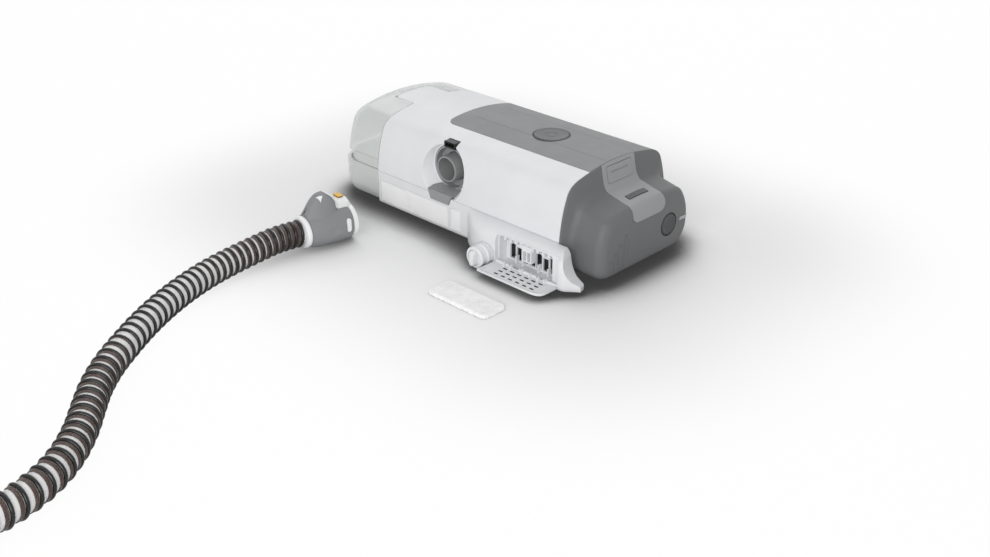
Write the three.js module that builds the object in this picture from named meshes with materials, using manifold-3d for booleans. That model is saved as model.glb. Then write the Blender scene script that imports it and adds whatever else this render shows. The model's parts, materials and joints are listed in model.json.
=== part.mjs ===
// A portable bilevel breathing machine with its water chamber, battery pack,
// filter door standing open, filter pad laid out and heated hose on the table.
// Millimetres, +Z up, +X towards the battery, -Y towards the rear (outlet side).
import * as THREE from 'three';
import { mergeVertices } from 'three/addons/utils/BufferGeometryUtils.js';
import Module from 'manifold-3d';

const wasm = await Module();
wasm.setup();

// Fits
const GAP = 0.3;
const RUNNING_GAP = 0.4;

// Casing: the white shells run from x = 0 to SHELL_LENGTH, rear wall at y = 0
const SHELL_LENGTH = 203.4;
const DEPTH = 127.5;
const HEIGHT = 82.5;
const PARTING_Z = 32.6;
const BASE_Z = 3;
const WALL = 2.2;
const LEAN_IN = 7.7;
const LEAN_TOP_DROP = 15;
const SHOULDER_IN = 22;
const CROWN_RISE = 4.9;
const BASE_EDGE_R = 3.5;

// Grey top panel, wrapped over the front edge
const PANEL_X = 49.3;
const PANEL_REAR_Y = 33.5;
const PANEL_CORNER_R = 9;
const PANEL_FRONT_Z = HEIGHT - 38.5;
const PANEL_T = 2;

// Start button on the top panel
const START_X = SHELL_LENGTH - 68.5;
const START_Y = 66.9;
const START_R = 14.3;
const START_TRAVEL = 0.8;
const START_PROUD = 0.6;

// Display and menu buttons on the front face
const DISPLAY_X = SHELL_LENGTH - 107.4;
const DISPLAY_W = 56;
const DISPLAY_Z = HEIGHT - 34.5;
const DISPLAY_H = 18;
const MENU_BUTTON_R = 4.2;
const MENU_BUTTON_PITCH = 12;
const MENU_TRAVEL = 0.8;

// Air outlet on the rear wall
const OUTLET_X = 76.3;
const OUTLET_Z = HEIGHT - 29;
const OUTLET_R = 11;
const OUTLET_BORE_R = 9.2;
const OUTLET_TIP_Y = 6.4;
const CUP_R = 18.5;
const CUP_WALL = 1.8;
const CUP_RIM_Y = 11.4;
const CUP_FLOOR_Y = 18.5;
const CUP_BACK_Y = 20.5;
const DISH_R = 24.5;
const DISH_FOOT_R = 19.2;
const DISH_FOOT_Y = 12;
const CHUTE_LOW_Z = OUTLET_Z - 26.5;
const CHUTE_BEND_Z = OUTLET_Z - 18.2;
const CHUTE_IN_Z = OUTLET_Z - 16;
const CHUTE_PROUD = 0.6;
const CHUTE_T = 1.8;
const SOCKET_X = OUTLET_X - 6;
const SOCKET_W = 12.5;
const SOCKET_Z = OUTLET_Z + 17;
const SOCKET_H = 5.3;
const SOCKET_FACE_Y = 10.5;
const SOCKET_L = 10;

// Filter bay and oxygen port, bulging from the rear wall
const BAY_MODULE_X = SHELL_LENGTH - 93.4;
const BAY_MODULE_OUT = 16.2;
const EAR_X = SHELL_LENGTH + 13.2;
const EAR_TIP_X = SHELL_LENGTH + 25.6;
const EAR_LEAN = 0.3;
const FLANGE_END_X = SHELL_LENGTH + 18.1;
const BAY_X = SHELL_LENGTH - 50;
const BAY_W = 54.6;
const BAY_TOP_Z = 27.2;
const BAY_FLOOR_Z = 5;
const DOOR_X = BAY_X - RUNNING_GAP;
const DOOR_W = 63;
const DOOR_L = 23;
const DOOR_HINGE_Y = -14.6;
const DOOR_HINGE_Z = 5.6;
const DOOR_T = 2.2;
const DOOR_BARREL_R = 1.9;
const DOOR_PIN_R = 0.8;
const PAD_W = 61;
const PAD_D = 25;
const PAD_T = 3.2;
const PAD_X = BAY_X - 8.9;
const PAD_Y = -82;
const OXYGEN_X = BAY_X - 10.8;
const OXYGEN_Z = 9.8;
const OXYGEN_CAP_R = 8.9;
const OXYGEN_CAP_L = 13.8;

// Battery pack
const BATTERY_X = SHELL_LENGTH + GAP;
const BATTERY_L = 33.3;
const BATTERY_END_X = BATTERY_X + BATTERY_L;
const BATTERY_FLOOR_Z = 6;
const BATTERY_SIDE_IN = 9;
const BATTERY_SHELF_Z = HEIGHT - 20.5;
const BATTERY_SHELF_FALL = 4;
const BATTERY_FAR_R = 17;
const SLEEVE_X = SHELL_LENGTH - 38.1;
const SLEEVE_Y = 17.2;
const SLEEVE_W = 93;
const SLEEVE_Z = 10;
const SLEEVE_H = 41.6;
const SLEEVE_WALL = 1.6;
const CELL_D = 18.4;
const CELL_L = 65;
const INLAY_Y = 45.4;
const INLAY_W = 38.6;
const INLAY_LOW_Z = BATTERY_SHELF_Z - 18.3;
const CHECK_BUTTON_Y = 90.7;
const CHECK_BUTTON_Z = 28.8;
const CHECK_BUTTON_R = 9.5;

// Water chamber
const TUB_END_X = -50.5;
const TUB_CORNER_R = 18;
const TUB_LOW_Z = 5.6;
const TUB_RIM_Z = 33;
const TUB_WALL = 2.6;
const TUB_FLOOR_Z = 8.6;
const TUB_FLOOR_T = 2.6;
const LID_END_X = -47.5;
const LID_LOW_Z = 41.5;
const LID_SIDE_R = 16;
const LID_TOP_RUN = 22;
const LID_TOP_FALL = 10;
const LID_WALL = 2.2;
const LID_HINGE_X = -45.3;
const LID_HINGE_Z = 37.3;
const LID_PIN_R = 1;
const KNUCKLE_R = 2.6;
const TONGUE_L = 24;
const TONGUE_Y = 43.8;
const TONGUE_W = 40;
const TONGUE_T = 3.2;
const PORT_Z = HEIGHT - 22.5;
const PORT_RETURN_Y = 54;
const PORT_SUPPLY_Y = 74;
const PORT_R = 7;
const HEATER_TOP_Z = 8.2;

// Blower
const BLOWER_X = START_X - 16.9;
const BLOWER_Y = 66;
const BLOWER_Z = 12;
const BLOWER_R = 33;
const BLOWER_H = 28;
const BLOWER_WALL = 2.4;
const IMPELLER_R = 24;
const IMPELLER_BLADES = 9;
const MOTOR_R = 15;
const MOTOR_H = 16;

// Boards
const BOARD_T = 1.6;
const BOARD_Z = HEIGHT - 16.5;

// Hose and its cuffs, lying on the table
const HOSE_R = 11.1;
const HOSE_VALLEY_R = 9.8;
const HOSE_BORE_R = 7.9;
const HOSE_LENGTH = 1800;
const RIB_PITCH = 7.5;
const COIL_R = 148;
const COIL_PITCH = 23.4;
const COIL_CURL_TURNS = 0.6;
const COIL_CURL_IN = 28;
const CUFF_X = 20.6;
const CUFF_Z = 15.5;
const CUFF_REAR_Y = -100.8;
const CUFF_L = 46;
const CUFF_YAW = 7.2;
const MASK_CUFF_L = 46;
const MASK_CUFF_R = 12.4;

const HALF_DEPTH = DEPTH / 2;
const CENTRE_Y = HALF_DEPTH;
const up = new THREE.Vector3(0, 0, 1);

// Solids from closed geometries
function toSolid(geometry) {
  const plain = geometry.index ? geometry.toNonIndexed() : geometry.clone();
  plain.deleteAttribute('normal');
  plain.deleteAttribute('uv');
  const merged = mergeVertices(plain, 1e-4);
  const mesh = new wasm.Mesh({
    numProp: 3,
    vertProperties: Float32Array.from(merged.attributes.position.array),
    triVerts: Uint32Array.from(merged.index.array),
  });
  return new wasm.Manifold(mesh);
}

function toGeometry(solid) {
  const mesh = solid.getMesh();
  const geometry = new THREE.BufferGeometry();
  geometry.setAttribute('position', new THREE.BufferAttribute(Float32Array.from(mesh.vertProperties), 3));
  geometry.setIndex(new THREE.BufferAttribute(Uint32Array.from(mesh.triVerts), 1));
  geometry.computeVertexNormals();
  return geometry;
}

function join(...solids) {
  return solids.reduce((whole, solid) => whole.add(solid));
}

function box(x0, x1, y0, y1, z0, z1) {
  const geometry = new THREE.BoxGeometry(x1 - x0, y1 - y0, z1 - z0);
  geometry.translate((x0 + x1) / 2, (y0 + y1) / 2, (z0 + z1) / 2);
  return toSolid(geometry);
}

function rodZ(x, y, z0, z1, radius, sides = 24, topRadius = radius) {
  const geometry = new THREE.CylinderGeometry(topRadius, radius, z1 - z0, sides);
  geometry.rotateX(Math.PI / 2);
  geometry.translate(x, y, (z0 + z1) / 2);
  return toSolid(geometry);
}

function rodY(x, z, y0, y1, radius, sides = 24, farRadius = radius) {
  const geometry = new THREE.CylinderGeometry(farRadius, radius, y1 - y0, sides);
  geometry.translate(x, (y0 + y1) / 2, z);
  return toSolid(geometry);
}

function rodX(y, z, x0, x1, radius, sides = 24) {
  const geometry = new THREE.CylinderGeometry(radius, radius, x1 - x0, sides);
  geometry.rotateZ(-Math.PI / 2);
  geometry.translate((x0 + x1) / 2, y, z);
  return toSolid(geometry);
}

// A prism of an outline in X and Z, from y0 to y1, that moves by lean in X for each unit of -Y
function prismY(outline, y0, y1, lean = 0) {
  const shape = new THREE.Shape(outline.map(([x, z]) => new THREE.Vector2(x, z)));
  const geometry = new THREE.ExtrudeGeometry(shape, { depth: y1 - y0, bevelEnabled: false });
  geometry.rotateX(Math.PI / 2);
  geometry.translate(0, y1, 0);
  geometry.applyMatrix4(new THREE.Matrix4().set(1, -lean, 0, 0, 0, 1, 0, 0, 0, 0, 1, 0, 0, 0, 0, 1));
  return toSolid(geometry);
}

// A prism of an outline in Y and Z, from x0 to x1
function prismX(outline, x0, x1) {
  const shape = new THREE.Shape(outline.map(([y, z]) => new THREE.Vector2(y, z)));
  const geometry = new THREE.ExtrudeGeometry(shape, { depth: x1 - x0, bevelEnabled: false });
  const turn = new THREE.Matrix4().makeBasis(
    new THREE.Vector3(0, 1, 0), new THREE.Vector3(0, 0, 1), new THREE.Vector3(1, 0, 0),
  );
  geometry.applyMatrix4(turn);
  geometry.translate(x0, 0, 0);
  return toSolid(geometry);
}

// A prism of an outline in X and Y, from z0 to z1
function prismZ(outline, z0, z1) {
  const shape = new THREE.Shape(outline.map(([x, y]) => new THREE.Vector2(x, y)));
  const geometry = new THREE.ExtrudeGeometry(shape, { depth: z1 - z0, bevelEnabled: false });
  geometry.translate(0, 0, z0);
  return toSolid(geometry);
}

// A closed body through a row of rings that have the same number of points
function loft(rings) {
  const count = rings[0].length;
  const positions = [];
  const triangle = (a, b, c) => positions.push(...a.toArray(), ...b.toArray(), ...c.toArray());
  for (let i = 0; i + 1 < rings.length; i += 1) {
    for (let j = 0; j < count; j += 1) {
      const next = (j + 1) % count;
      triangle(rings[i][j], rings[i][next], rings[i + 1][next]);
      triangle(rings[i][j], rings[i + 1][next], rings[i + 1][j]);
    }
  }
  const middle = (ring) => ring.reduce((sum, point) => sum.add(point), new THREE.Vector3()).divideScalar(count);
  const first = middle(rings[0]);
  const last = middle(rings[rings.length - 1]);
  for (let j = 0; j < count; j += 1) {
    const next = (j + 1) % count;
    triangle(first, rings[0][next], rings[0][j]);
    triangle(last, rings[rings.length - 1][j], rings[rings.length - 1][next]);
  }
  const geometry = new THREE.BufferGeometry();
  geometry.setAttribute('position', new THREE.Float32BufferAttribute(facingOut(positions), 3));
  return toSolid(geometry);
}

// The same triangles, turned over where they enclose a negative volume
function facingOut(positions) {
  let volume = 0;
  const corner = (k) => new THREE.Vector3().fromArray(positions, k);
  for (let k = 0; k < positions.length; k += 9) {
    volume += corner(k).dot(corner(k + 3).cross(corner(k + 6)));
  }
  if (volume > 0) {
    return positions;
  }
  const turned = [];
  for (let k = 0; k < positions.length; k += 9) {
    turned.push(
      ...positions.slice(k, k + 3), ...positions.slice(k + 6, k + 9), ...positions.slice(k + 3, k + 6),
    );
  }
  return turned;
}

// A rectangle with a rounded corner of its own radius at each end of each side
function roundedLoop(u0, u1, v0, v1, radii, steps = 4) {
  const corners = [
    [u0 + radii[0], v0 + radii[0], radii[0], Math.PI],
    [u1 - radii[1], v0 + radii[1], radii[1], Math.PI * 1.5],
    [u1 - radii[2], v1 - radii[2], radii[2], 0],
    [u0 + radii[3], v1 - radii[3], radii[3], Math.PI / 2],
  ];
  const points = [];
  for (const [u, v, radius, start] of corners) {
    for (let i = 0; i <= steps; i += 1) {
      const angle = start + (Math.PI / 2) * (i / steps);
      points.push([u + radius * Math.cos(angle), v + radius * Math.sin(angle)]);
    }
  }
  return points;
}

const ringX = (loop, x) => loop.map(([y, z]) => new THREE.Vector3(x, y, z));
const ringY = (loop, y) => loop.map(([x, z]) => new THREE.Vector3(x, y, z));
const ringZ = (loop, z) => loop.map(([x, y]) => new THREE.Vector3(x, y, z));

// Half of the casing's section above the parting line, rear wall to crown
function halfSection() {
  const shoulderZ = HEIGHT - CROWN_RISE;
  const leanZ = HEIGHT - LEAN_TOP_DROP;
  const curves = [
    [[0, PARTING_Z], [LEAN_IN * 0.2, (PARTING_Z * 0.43 + leanZ * 0.57)], [LEAN_IN, leanZ]],
    [[LEAN_IN, leanZ], [LEAN_IN * 1.36, shoulderZ - CROWN_RISE / 2], [SHOULDER_IN, shoulderZ]],
    [[SHOULDER_IN, shoulderZ], [(SHOULDER_IN + HALF_DEPTH) / 2, HEIGHT - 0.1], [HALF_DEPTH, HEIGHT]],
  ];
  const points = [];
  for (const curve of curves) {
    const [start, control, end] = curve.map(([y, z]) => new THREE.Vector2(y, z));
    const path = new THREE.QuadraticBezierCurve(start, control, end).getPoints(3);
    points.push(...path.slice(points.length ? 1 : 0).map((point) => [point.x, point.y]));
  }
  return points;
}

const HALF_SECTION = halfSection();

// The section drawn in by sideIn at each side and lowered by topDrop at the crown
function upperPoints(sideIn, topDrop) {
  const across = (HALF_DEPTH - sideIn) / HALF_DEPTH;
  const tall = (HEIGHT - topDrop - PARTING_Z) / (HEIGHT - PARTING_Z);
  const half = HALF_SECTION.map(([y, z]) => [
    CENTRE_Y + (y - CENTRE_Y) * across,
    PARTING_Z + (z - PARTING_Z) * tall,
  ]);
  const mirrored = half.slice(0, -1).reverse().map(([y, z]) => [2 * CENTRE_Y - y, z]);
  return [...half, ...mirrored];
}

function upperBody(x0, x1, inset = 0) {
  const loop = upperPoints(inset, inset);
  return loft([ringX(loop, x0), ringX(loop, x1)]);
}

// The whole section from a base height to the crown, with rounded bottom edges
function fullLoop(sideIn, topDrop, lowZ, edgeR, farR = edgeR) {
  const steps = 3;
  const left = [];
  const right = [];
  for (let i = 0; i <= steps; i += 1) {
    const angle = (Math.PI / 2) * (i / steps);
    const inY = 1 - Math.sin(angle);
    const up = 1 - Math.cos(angle);
    left.push([sideIn + edgeR * inY, lowZ + edgeR * up]);
    right.unshift([DEPTH - sideIn - farR * inY, lowZ + farR * up]);
  }
  return [...left, ...upperPoints(sideIn, topDrop), ...right];
}

// Bottom shell, with the filter bay, the oxygen port block and the battery flange
function bayLoop(out, innerY) {
  const share = out / BAY_MODULE_OUT;
  const top = PARTING_Z - GAP;
  const path = new THREE.Path();
  path.moveTo(innerY, top);
  path.lineTo(0, top);
  path.quadraticCurveTo(-0.88 * out, top - 0.5, -0.97 * out, top - 9);
  path.lineTo(-out, BASE_Z + 5);
  path.quadraticCurveTo(-out, BASE_Z, -out + 3 * share, BASE_Z);
  path.lineTo(innerY, BASE_Z);
  return path.getPoints(5).map((point) => [point.x, point.y]);
}

// Space that keeps the ear's end, which leans out from the pack and flares to a tip at the base
function earSpace() {
  const side = [
    [BAY_MODULE_X - 12, BASE_Z - 1], [EAR_TIP_X, BASE_Z - 1], [EAR_TIP_X, BASE_Z + 4.5],
    [EAR_TIP_X - 3, BASE_Z + 6.5], [EAR_X + 5.5, BASE_Z + 9], [EAR_X + 1.8, BASE_Z + 14.5],
    [EAR_X, BASE_Z + 20], [EAR_X - 1.2, PARTING_Z - 4], [EAR_X - 5.6, PARTING_Z + 1],
    [BAY_MODULE_X - 12, PARTING_Z + 1],
  ];
  return prismY(side, -BAY_MODULE_OUT - 2, DEPTH, EAR_LEAN);
}

// Recess in the face that the closed door fills, open at the bottom for its barrel
function doorSeat() {
  const seatY = DOOR_HINGE_Y + DOOR_BARREL_R + DOOR_PIN_R;
  return box(
    DOOR_X - RUNNING_GAP, DOOR_X + DOOR_W + RUNNING_GAP, -BAY_MODULE_OUT - 5, seatY,
    BASE_Z - 1, DOOR_HINGE_Z + DOOR_L + RUNNING_GAP,
  );
}

function bayModule() {
  const stations = [
    [BAY_MODULE_X, 0.2], [BAY_MODULE_X + 8, 0.55], [BAY_MODULE_X + 16, 0.8], [BAY_MODULE_X + 25, 0.96],
    [OXYGEN_X, 1], [EAR_X + 2, 1], [EAR_X + 5, 0.93], [EAR_X + 9, 0.7], [EAR_TIP_X + 4, 0.3],
  ];
  const body = loft(stations.map(([x, share]) => ringX(bayLoop(BAY_MODULE_OUT * share, WALL / 2), x)));
  const packWay = box(SHELL_LENGTH, EAR_TIP_X + 9, -RUNNING_GAP, DEPTH, 0, HEIGHT);
  return body.intersect(earSpace()).subtract(packWay);
}

const BOSS_IN = 6.4;
const BOSSES = [[SHELL_LENGTH - BOSS_IN, BOSS_IN], [SHELL_LENGTH - BOSS_IN, DEPTH - BOSS_IN]];
const BOSS_R = 4.4;
const SCREW_R = 1.4;
const SCREW_HEAD_R = 2.8;
const SCREW_TOP_Z = 38;
const FOOT_XS = [-30, SHELL_LENGTH - 20];
const FOOT_W = 9;
const FOOT_SIDE_IN = 24;
const FOOT_INSET = 1;
const TRAY_TOP_Z = 6.2;
const TRAY_SIDE_IN = 14;
const DC_X = BAY_X - 3.4;
const DC_Z = 19;
const DC_SIZE = 12;

const sleeveY1 = SLEEVE_Y + SLEEVE_W;
const sleeveZ1 = SLEEVE_Z + SLEEVE_H;
const bayX1 = BAY_X + BAY_W;
const sleeveOpening = () => box(
  SHELL_LENGTH - 2 * WALL, SHELL_LENGTH + 1,
  SLEEVE_Y - RUNNING_GAP, sleeveY1 + RUNNING_GAP,
  SLEEVE_Z - RUNNING_GAP, sleeveZ1 + RUNNING_GAP,
);

function bottomShell() {
  const top = PARTING_Z - GAP / 2;
  const edges = [BASE_EDGE_R, BASE_EDGE_R, 0.2, 0.2];
  const loop = roundedLoop(0, DEPTH, BASE_Z, top, edges);
  const outer = loft([ringX(loop, 0), ringX(loop, SHELL_LENGTH)]);
  const hollow = box(WALL, SHELL_LENGTH - WALL, WALL, DEPTH - WALL, BASE_Z + WALL, top + 5);
  const tray = box(-41, 1, TRAY_SIDE_IN, DEPTH - TRAY_SIDE_IN, BASE_Z, TRAY_TOP_Z);
  const flangeTop = BATTERY_FLOOR_Z - RUNNING_GAP;
  const flange = box(SHELL_LENGTH - 1, FLANGE_END_X, -1, DEPTH - 6, BASE_Z, flangeTop);
  let shell = outer.add(bayModule()).subtract(hollow).add(tray).add(flange);
  const posts = BOSSES.map(([x, y]) => rodZ(x, y, BASE_Z + 1, top, BOSS_R, 12));
  shell = join(shell, ...posts);
  const cuts = [
    sleeveOpening(),
    doorSeat(),
    box(BAY_X, bayX1, -BAY_MODULE_OUT - 5, -2.2, BAY_FLOOR_Z, BAY_TOP_Z),
    box(BAY_X + 4, SHELL_LENGTH - 18, -3, WALL + 1, 9, 24),
    box(BAY_MODULE_X + 9, BAY_X - 3, -7, WALL + 0.5, BASE_Z + WALL, 26),
    rodX(DOOR_HINGE_Y, DOOR_HINGE_Z, DOOR_X - 3, DOOR_X + DOOR_W + 3, DOOR_PIN_R + GAP, 12),
    rodY(OXYGEN_X, OXYGEN_Z, -20, WALL + 1, 3.6, 16),
    rodX(PORT_SUPPLY_Y, 20, -1, WALL + 1, 3, 12),
    box(
      DC_X - DC_SIZE / 2, DC_X + DC_SIZE / 2, DEPTH - 2 * WALL, DEPTH + 1,
      DC_Z - DC_SIZE / 2, DC_Z + DC_SIZE / 2,
    ),
    chuteSolid(GAP),
  ];
  for (const [x, y] of BOSSES) {
    cuts.push(rodZ(x, y, BASE_Z - 1, BASE_Z + 2.6, SCREW_HEAD_R + GAP, 16));
    cuts.push(rodZ(x, y, BASE_Z, top + 1, SCREW_R + GAP, 12));
  }
  for (const x of FOOT_XS) {
    cuts.push(footSolid(x, GAP, BASE_Z - 1));
  }
  return cuts.reduce((solid, cut) => solid.subtract(cut), shell);
}

// Chute under the outlet: a plate on the wall that bends in to the cup
function chuteSolid(grow) {
  const face = [
    [OUTLET_X - 11.7 - grow, CHUTE_LOW_Z - grow], [OUTLET_X + 8.7 + grow, CHUTE_LOW_Z - grow],
    [OUTLET_X + 12.4 + grow, CHUTE_BEND_Z], [OUTLET_X + 12.4 + grow, CHUTE_IN_Z + 3],
    [OUTLET_X - 14.8 - grow, CHUTE_IN_Z + 3], [OUTLET_X - 14.8 - grow, CHUTE_BEND_Z - 1],
  ];
  const outY = -CHUTE_PROUD - grow;
  const inY = CHUTE_T - CHUTE_PROUD + grow;
  const footY = CUP_RIM_Y + 3 + grow;
  const fold = [
    [outY, CHUTE_LOW_Z - 1], [inY, CHUTE_LOW_Z - 1], [inY, CHUTE_BEND_Z - CHUTE_T - grow],
    [footY, CHUTE_IN_Z - CHUTE_T - grow], [footY, CHUTE_IN_Z + grow], [outY, CHUTE_BEND_Z + grow],
  ];
  return prismY(face, outY, footY + 1).intersect(prismX(fold, OUTLET_X - 20, OUTLET_X + 20));
}

// White dish that runs in from the wall to the cup
function dishSolid(grow) {
  const slope = (DISH_R - DISH_FOOT_R) / DISH_FOOT_Y;
  const outY = -2;
  const outR = DISH_R + slope * (1 - outY);
  return join(
    rodY(OUTLET_X, OUTLET_Z, outY, DISH_FOOT_Y, outR + grow, 32, DISH_FOOT_R + grow),
    rodY(OUTLET_X, OUTLET_Z, DISH_FOOT_Y - 1, DISH_FOOT_Y + 3, CUP_R + GAP + grow, 32),
  );
}

function socketSpace(grow) {
  return box(
    SOCKET_X - grow, SOCKET_X + SOCKET_W + grow, -5, SOCKET_FACE_Y + SOCKET_L + grow,
    SOCKET_Z - grow, SOCKET_Z + SOCKET_H + grow,
  );
}

// Top shell, with the tongue that reaches over the water chamber's lid
function panelRegion(grow, lowZ) {
  const x0 = PANEL_X - grow;
  const y0 = PANEL_REAR_Y - grow;
  const radius = PANEL_CORNER_R + grow;
  const radii = [radius, 0.2, 0.2, radius];
  const loop = roundedLoop(x0, SHELL_LENGTH + 5, y0, DEPTH + 40, radii);
  return prismZ(loop, lowZ - grow, HEIGHT + 10);
}

function lidBody(shrink, endX) {
  const stations = [0, 1.2, 4, 9, 16, LID_TOP_RUN];
  const rings = stations.map((t) => {
    const side = LID_SIDE_R * (1 - Math.sqrt(1 - Math.max(0, 1 - t / LID_SIDE_R) ** 2));
    const drop = LID_TOP_FALL * (1 - Math.sqrt(1 - Math.max(0, 1 - t / LID_TOP_RUN) ** 2));
    return ringX(upperPoints(side + shrink, drop + shrink), LID_END_X + shrink + t);
  });
  rings.push(ringX(upperPoints(shrink, shrink), endX));
  return loft(rings);
}

function topShell() {
  const low = PARTING_Z + GAP / 2;
  const outer = upperBody(0, SHELL_LENGTH);
  const inner = upperBody(WALL, SHELL_LENGTH - WALL, WALL);
  const underlay = upperBody(0, SHELL_LENGTH, PANEL_T + GAP)
    .subtract(upperBody(-1, SHELL_LENGTH + 1, PANEL_T + GAP + 2))
    .intersect(panelRegion(2, PANEL_FRONT_Z));
  const recess = panelRegion(GAP, PANEL_FRONT_Z).subtract(upperBody(-1, SHELL_LENGTH + 9, PANEL_T + GAP));
  const dishWall = dishSolid(WALL).intersect(upperBody(1, SHELL_LENGTH - 1));
  const socketWall = socketSpace(WALL).intersect(upperBody(1, SHELL_LENGTH - 1));
  let shell = join(outer.subtract(inner).subtract(recess), underlay, dishWall, socketWall);
  const overLid = box(-TONGUE_L, WALL / 2, TONGUE_Y, TONGUE_Y + TONGUE_W, 0, HEIGHT + 5)
    .intersect(lidBody(0, WALL))
    .subtract(lidBody(TONGUE_T, 3 * WALL));
  shell = shell.add(overLid);
  const boardPosts = BOARD_POSTS.map(([x, y]) => (
    rodZ(x, y, BOARD_Z + BOARD_T + GAP, HEIGHT, 3, 12).intersect(upperBody(0, SHELL_LENGTH, PANEL_T + GAP + 1))
  ));
  const bosses = BOSSES.map(([x, y]) => rodZ(x, y, low, SCREW_TOP_Z + 3, BOSS_R, 12));
  shell = join(shell, ...boardPosts, ...bosses);
  const cuts = [
    box(-90, SHELL_LENGTH + 9, -9, DEPTH + 9, BASE_Z, low),
    sleeveOpening(),
    rodZ(START_X, START_Y, BOARD_Z + 8, HEIGHT + 5, 3.4, 16),
    dishSolid(0),
    rodY(OUTLET_X, OUTLET_Z, CUP_RIM_Y, CUP_BACK_Y + 3, CUP_R + GAP, 32),
    socketSpace(GAP),
    chuteSolid(GAP),
    rodX(PORT_RETURN_Y, PORT_Z, -1, WALL + 1, PORT_R + 1.6, 20),
    rodX(PORT_SUPPLY_Y, PORT_Z, -1, WALL + 1, PORT_R + 1.6, 20),
    box(
      DISPLAY_X + 3, DISPLAY_X + DISPLAY_W - 3, DEPTH - 14, DEPTH + 1,
      DISPLAY_Z + 2, DISPLAY_Z + DISPLAY_H - 2,
    ),
  ];
  for (const x of menuButtonXs()) {
    cuts.push(rodY(x, MENU_Z, DEPTH - 14, DEPTH + 1, MENU_BUTTON_R + GAP, 20));
  }
  for (const [x, y] of BOSSES) {
    cuts.push(rodZ(x, y, low - 1, SCREW_TOP_Z + GAP, SCREW_R + GAP, 12));
  }
  return cuts.reduce((solid, cut) => solid.subtract(cut), shell);
}

const MENU_Z = DISPLAY_Z + DISPLAY_H / 2;
const BOARD_X = START_X - 42.9;
const BOARD_L = 68;
const BOARD_Y = 42;
const BOARD_W = 62;
const BOARD_POSTS = [[BOARD_X + 5, BOARD_Y + 5], [BOARD_X + 5, BOARD_Y + BOARD_W - 5],
  [BOARD_X + BOARD_L - 5, BOARD_Y + 5], [BOARD_X + BOARD_L - 5, BOARD_Y + BOARD_W - 5]];

function menuButtonXs() {
  const first = DISPLAY_X + DISPLAY_W + MENU_BUTTON_PITCH;
  return [first, first + MENU_BUTTON_PITCH, first + 2 * MENU_BUTTON_PITCH];
}

function displayCut(grow) {
  return box(
    DISPLAY_X - grow, DISPLAY_X + DISPLAY_W + grow, CENTRE_Y, DEPTH + 5,
    DISPLAY_Z - grow, DISPLAY_Z + DISPLAY_H + grow,
  );
}

function topPanel() {
  let panel = upperBody(0, SHELL_LENGTH).subtract(upperBody(-1, SHELL_LENGTH + 1, PANEL_T));
  panel = panel.intersect(panelRegion(0, PANEL_FRONT_Z));
  panel = panel.subtract(rodZ(START_X, START_Y, CENTRE_Y, HEIGHT + 5, START_R + GAP, 32));
  panel = panel.subtract(displayCut(GAP));
  for (const x of menuButtonXs()) {
    panel = panel.subtract(rodY(x, MENU_Z, CENTRE_Y, DEPTH + 5, MENU_BUTTON_R + GAP, 20));
  }
  return panel;
}

function startButton() {
  const low = HEIGHT - PANEL_T - GAP + START_TRAVEL + 0.15;
  const topZ = HEIGHT + START_PROUD;
  const disc = rodZ(START_X, START_Y, low, topZ - 0.5, START_R, 32);
  const crown = rodZ(START_X, START_Y, topZ - 0.5, topZ, START_R, 32, START_R - 1);
  const dish = rodZ(START_X, START_Y, topZ - 0.4, topZ + 1, START_R - 3, 32, START_R - 1.5);
  const stem = rodZ(START_X, START_Y, BOARD_Z + BOARD_T + GAP + 2.5 + 1, low + 0.2, 3, 16);
  return join(disc, crown).subtract(dish).add(stem);
}

function startSwitch() {
  const low = BOARD_Z + BOARD_T + GAP;
  return join(
    box(START_X - 3.5, START_X + 3.5, START_Y - 3.5, START_Y + 3.5, low, low + 1.7),
    rodZ(START_X, START_Y, low + 1.5, low + 2.5, 1.8, 12),
  );
}

function displayWindow() {
  return upperBody(0, SHELL_LENGTH, 0.1).subtract(upperBody(-1, SHELL_LENGTH + 1, PANEL_T - 0.3))
    .intersect(displayCut(0));
}

const FRONT_BOARD_Y = 109.4;

function displayModule() {
  const y0 = FRONT_BOARD_Y + BOARD_T + GAP;
  return box(DISPLAY_X + 1, DISPLAY_X + DISPLAY_W - 1, y0, y0 + 4, DISPLAY_Z + 1, DISPLAY_Z + DISPLAY_H - 1);
}

function menuButton(x) {
  const rod = rodY(x, MENU_Z, FRONT_BOARD_Y + BOARD_T + MENU_TRAVEL + 0.2, DEPTH, MENU_BUTTON_R, 20);
  return rod.intersect(upperBody(0, SHELL_LENGTH + 20, -0.7));
}

function frontBoard() {
  const xs = menuButtonXs();
  const x1 = xs[xs.length - 1] + 8;
  return box(DISPLAY_X - 2, x1, FRONT_BOARD_Y, FRONT_BOARD_Y + BOARD_T, sleeveZ1 + 1, DISPLAY_Z + DISPLAY_H);
}

// Outlet: cup with its chute, tapered spigot, contact socket
function outletBezel() {
  const cup = rodY(OUTLET_X, OUTLET_Z, CUP_RIM_Y, CUP_BACK_Y, CUP_R, 32)
    .subtract(rodY(OUTLET_X, OUTLET_Z, CUP_RIM_Y - 1, CUP_FLOOR_Y, CUP_R - CUP_WALL, 32));
  const chute = chuteSolid(0).subtract(
    rodY(OUTLET_X, OUTLET_Z, CUP_RIM_Y - 1, CUP_FLOOR_Y, CUP_R - CUP_WALL, 32),
  );
  return join(cup, chute)
    .subtract(rodY(OUTLET_X, OUTLET_Z, 0, CUP_BACK_Y + 1, OUTLET_R + 0.8, 32))
    .subtract(socketSpace(GAP));
}

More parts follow.
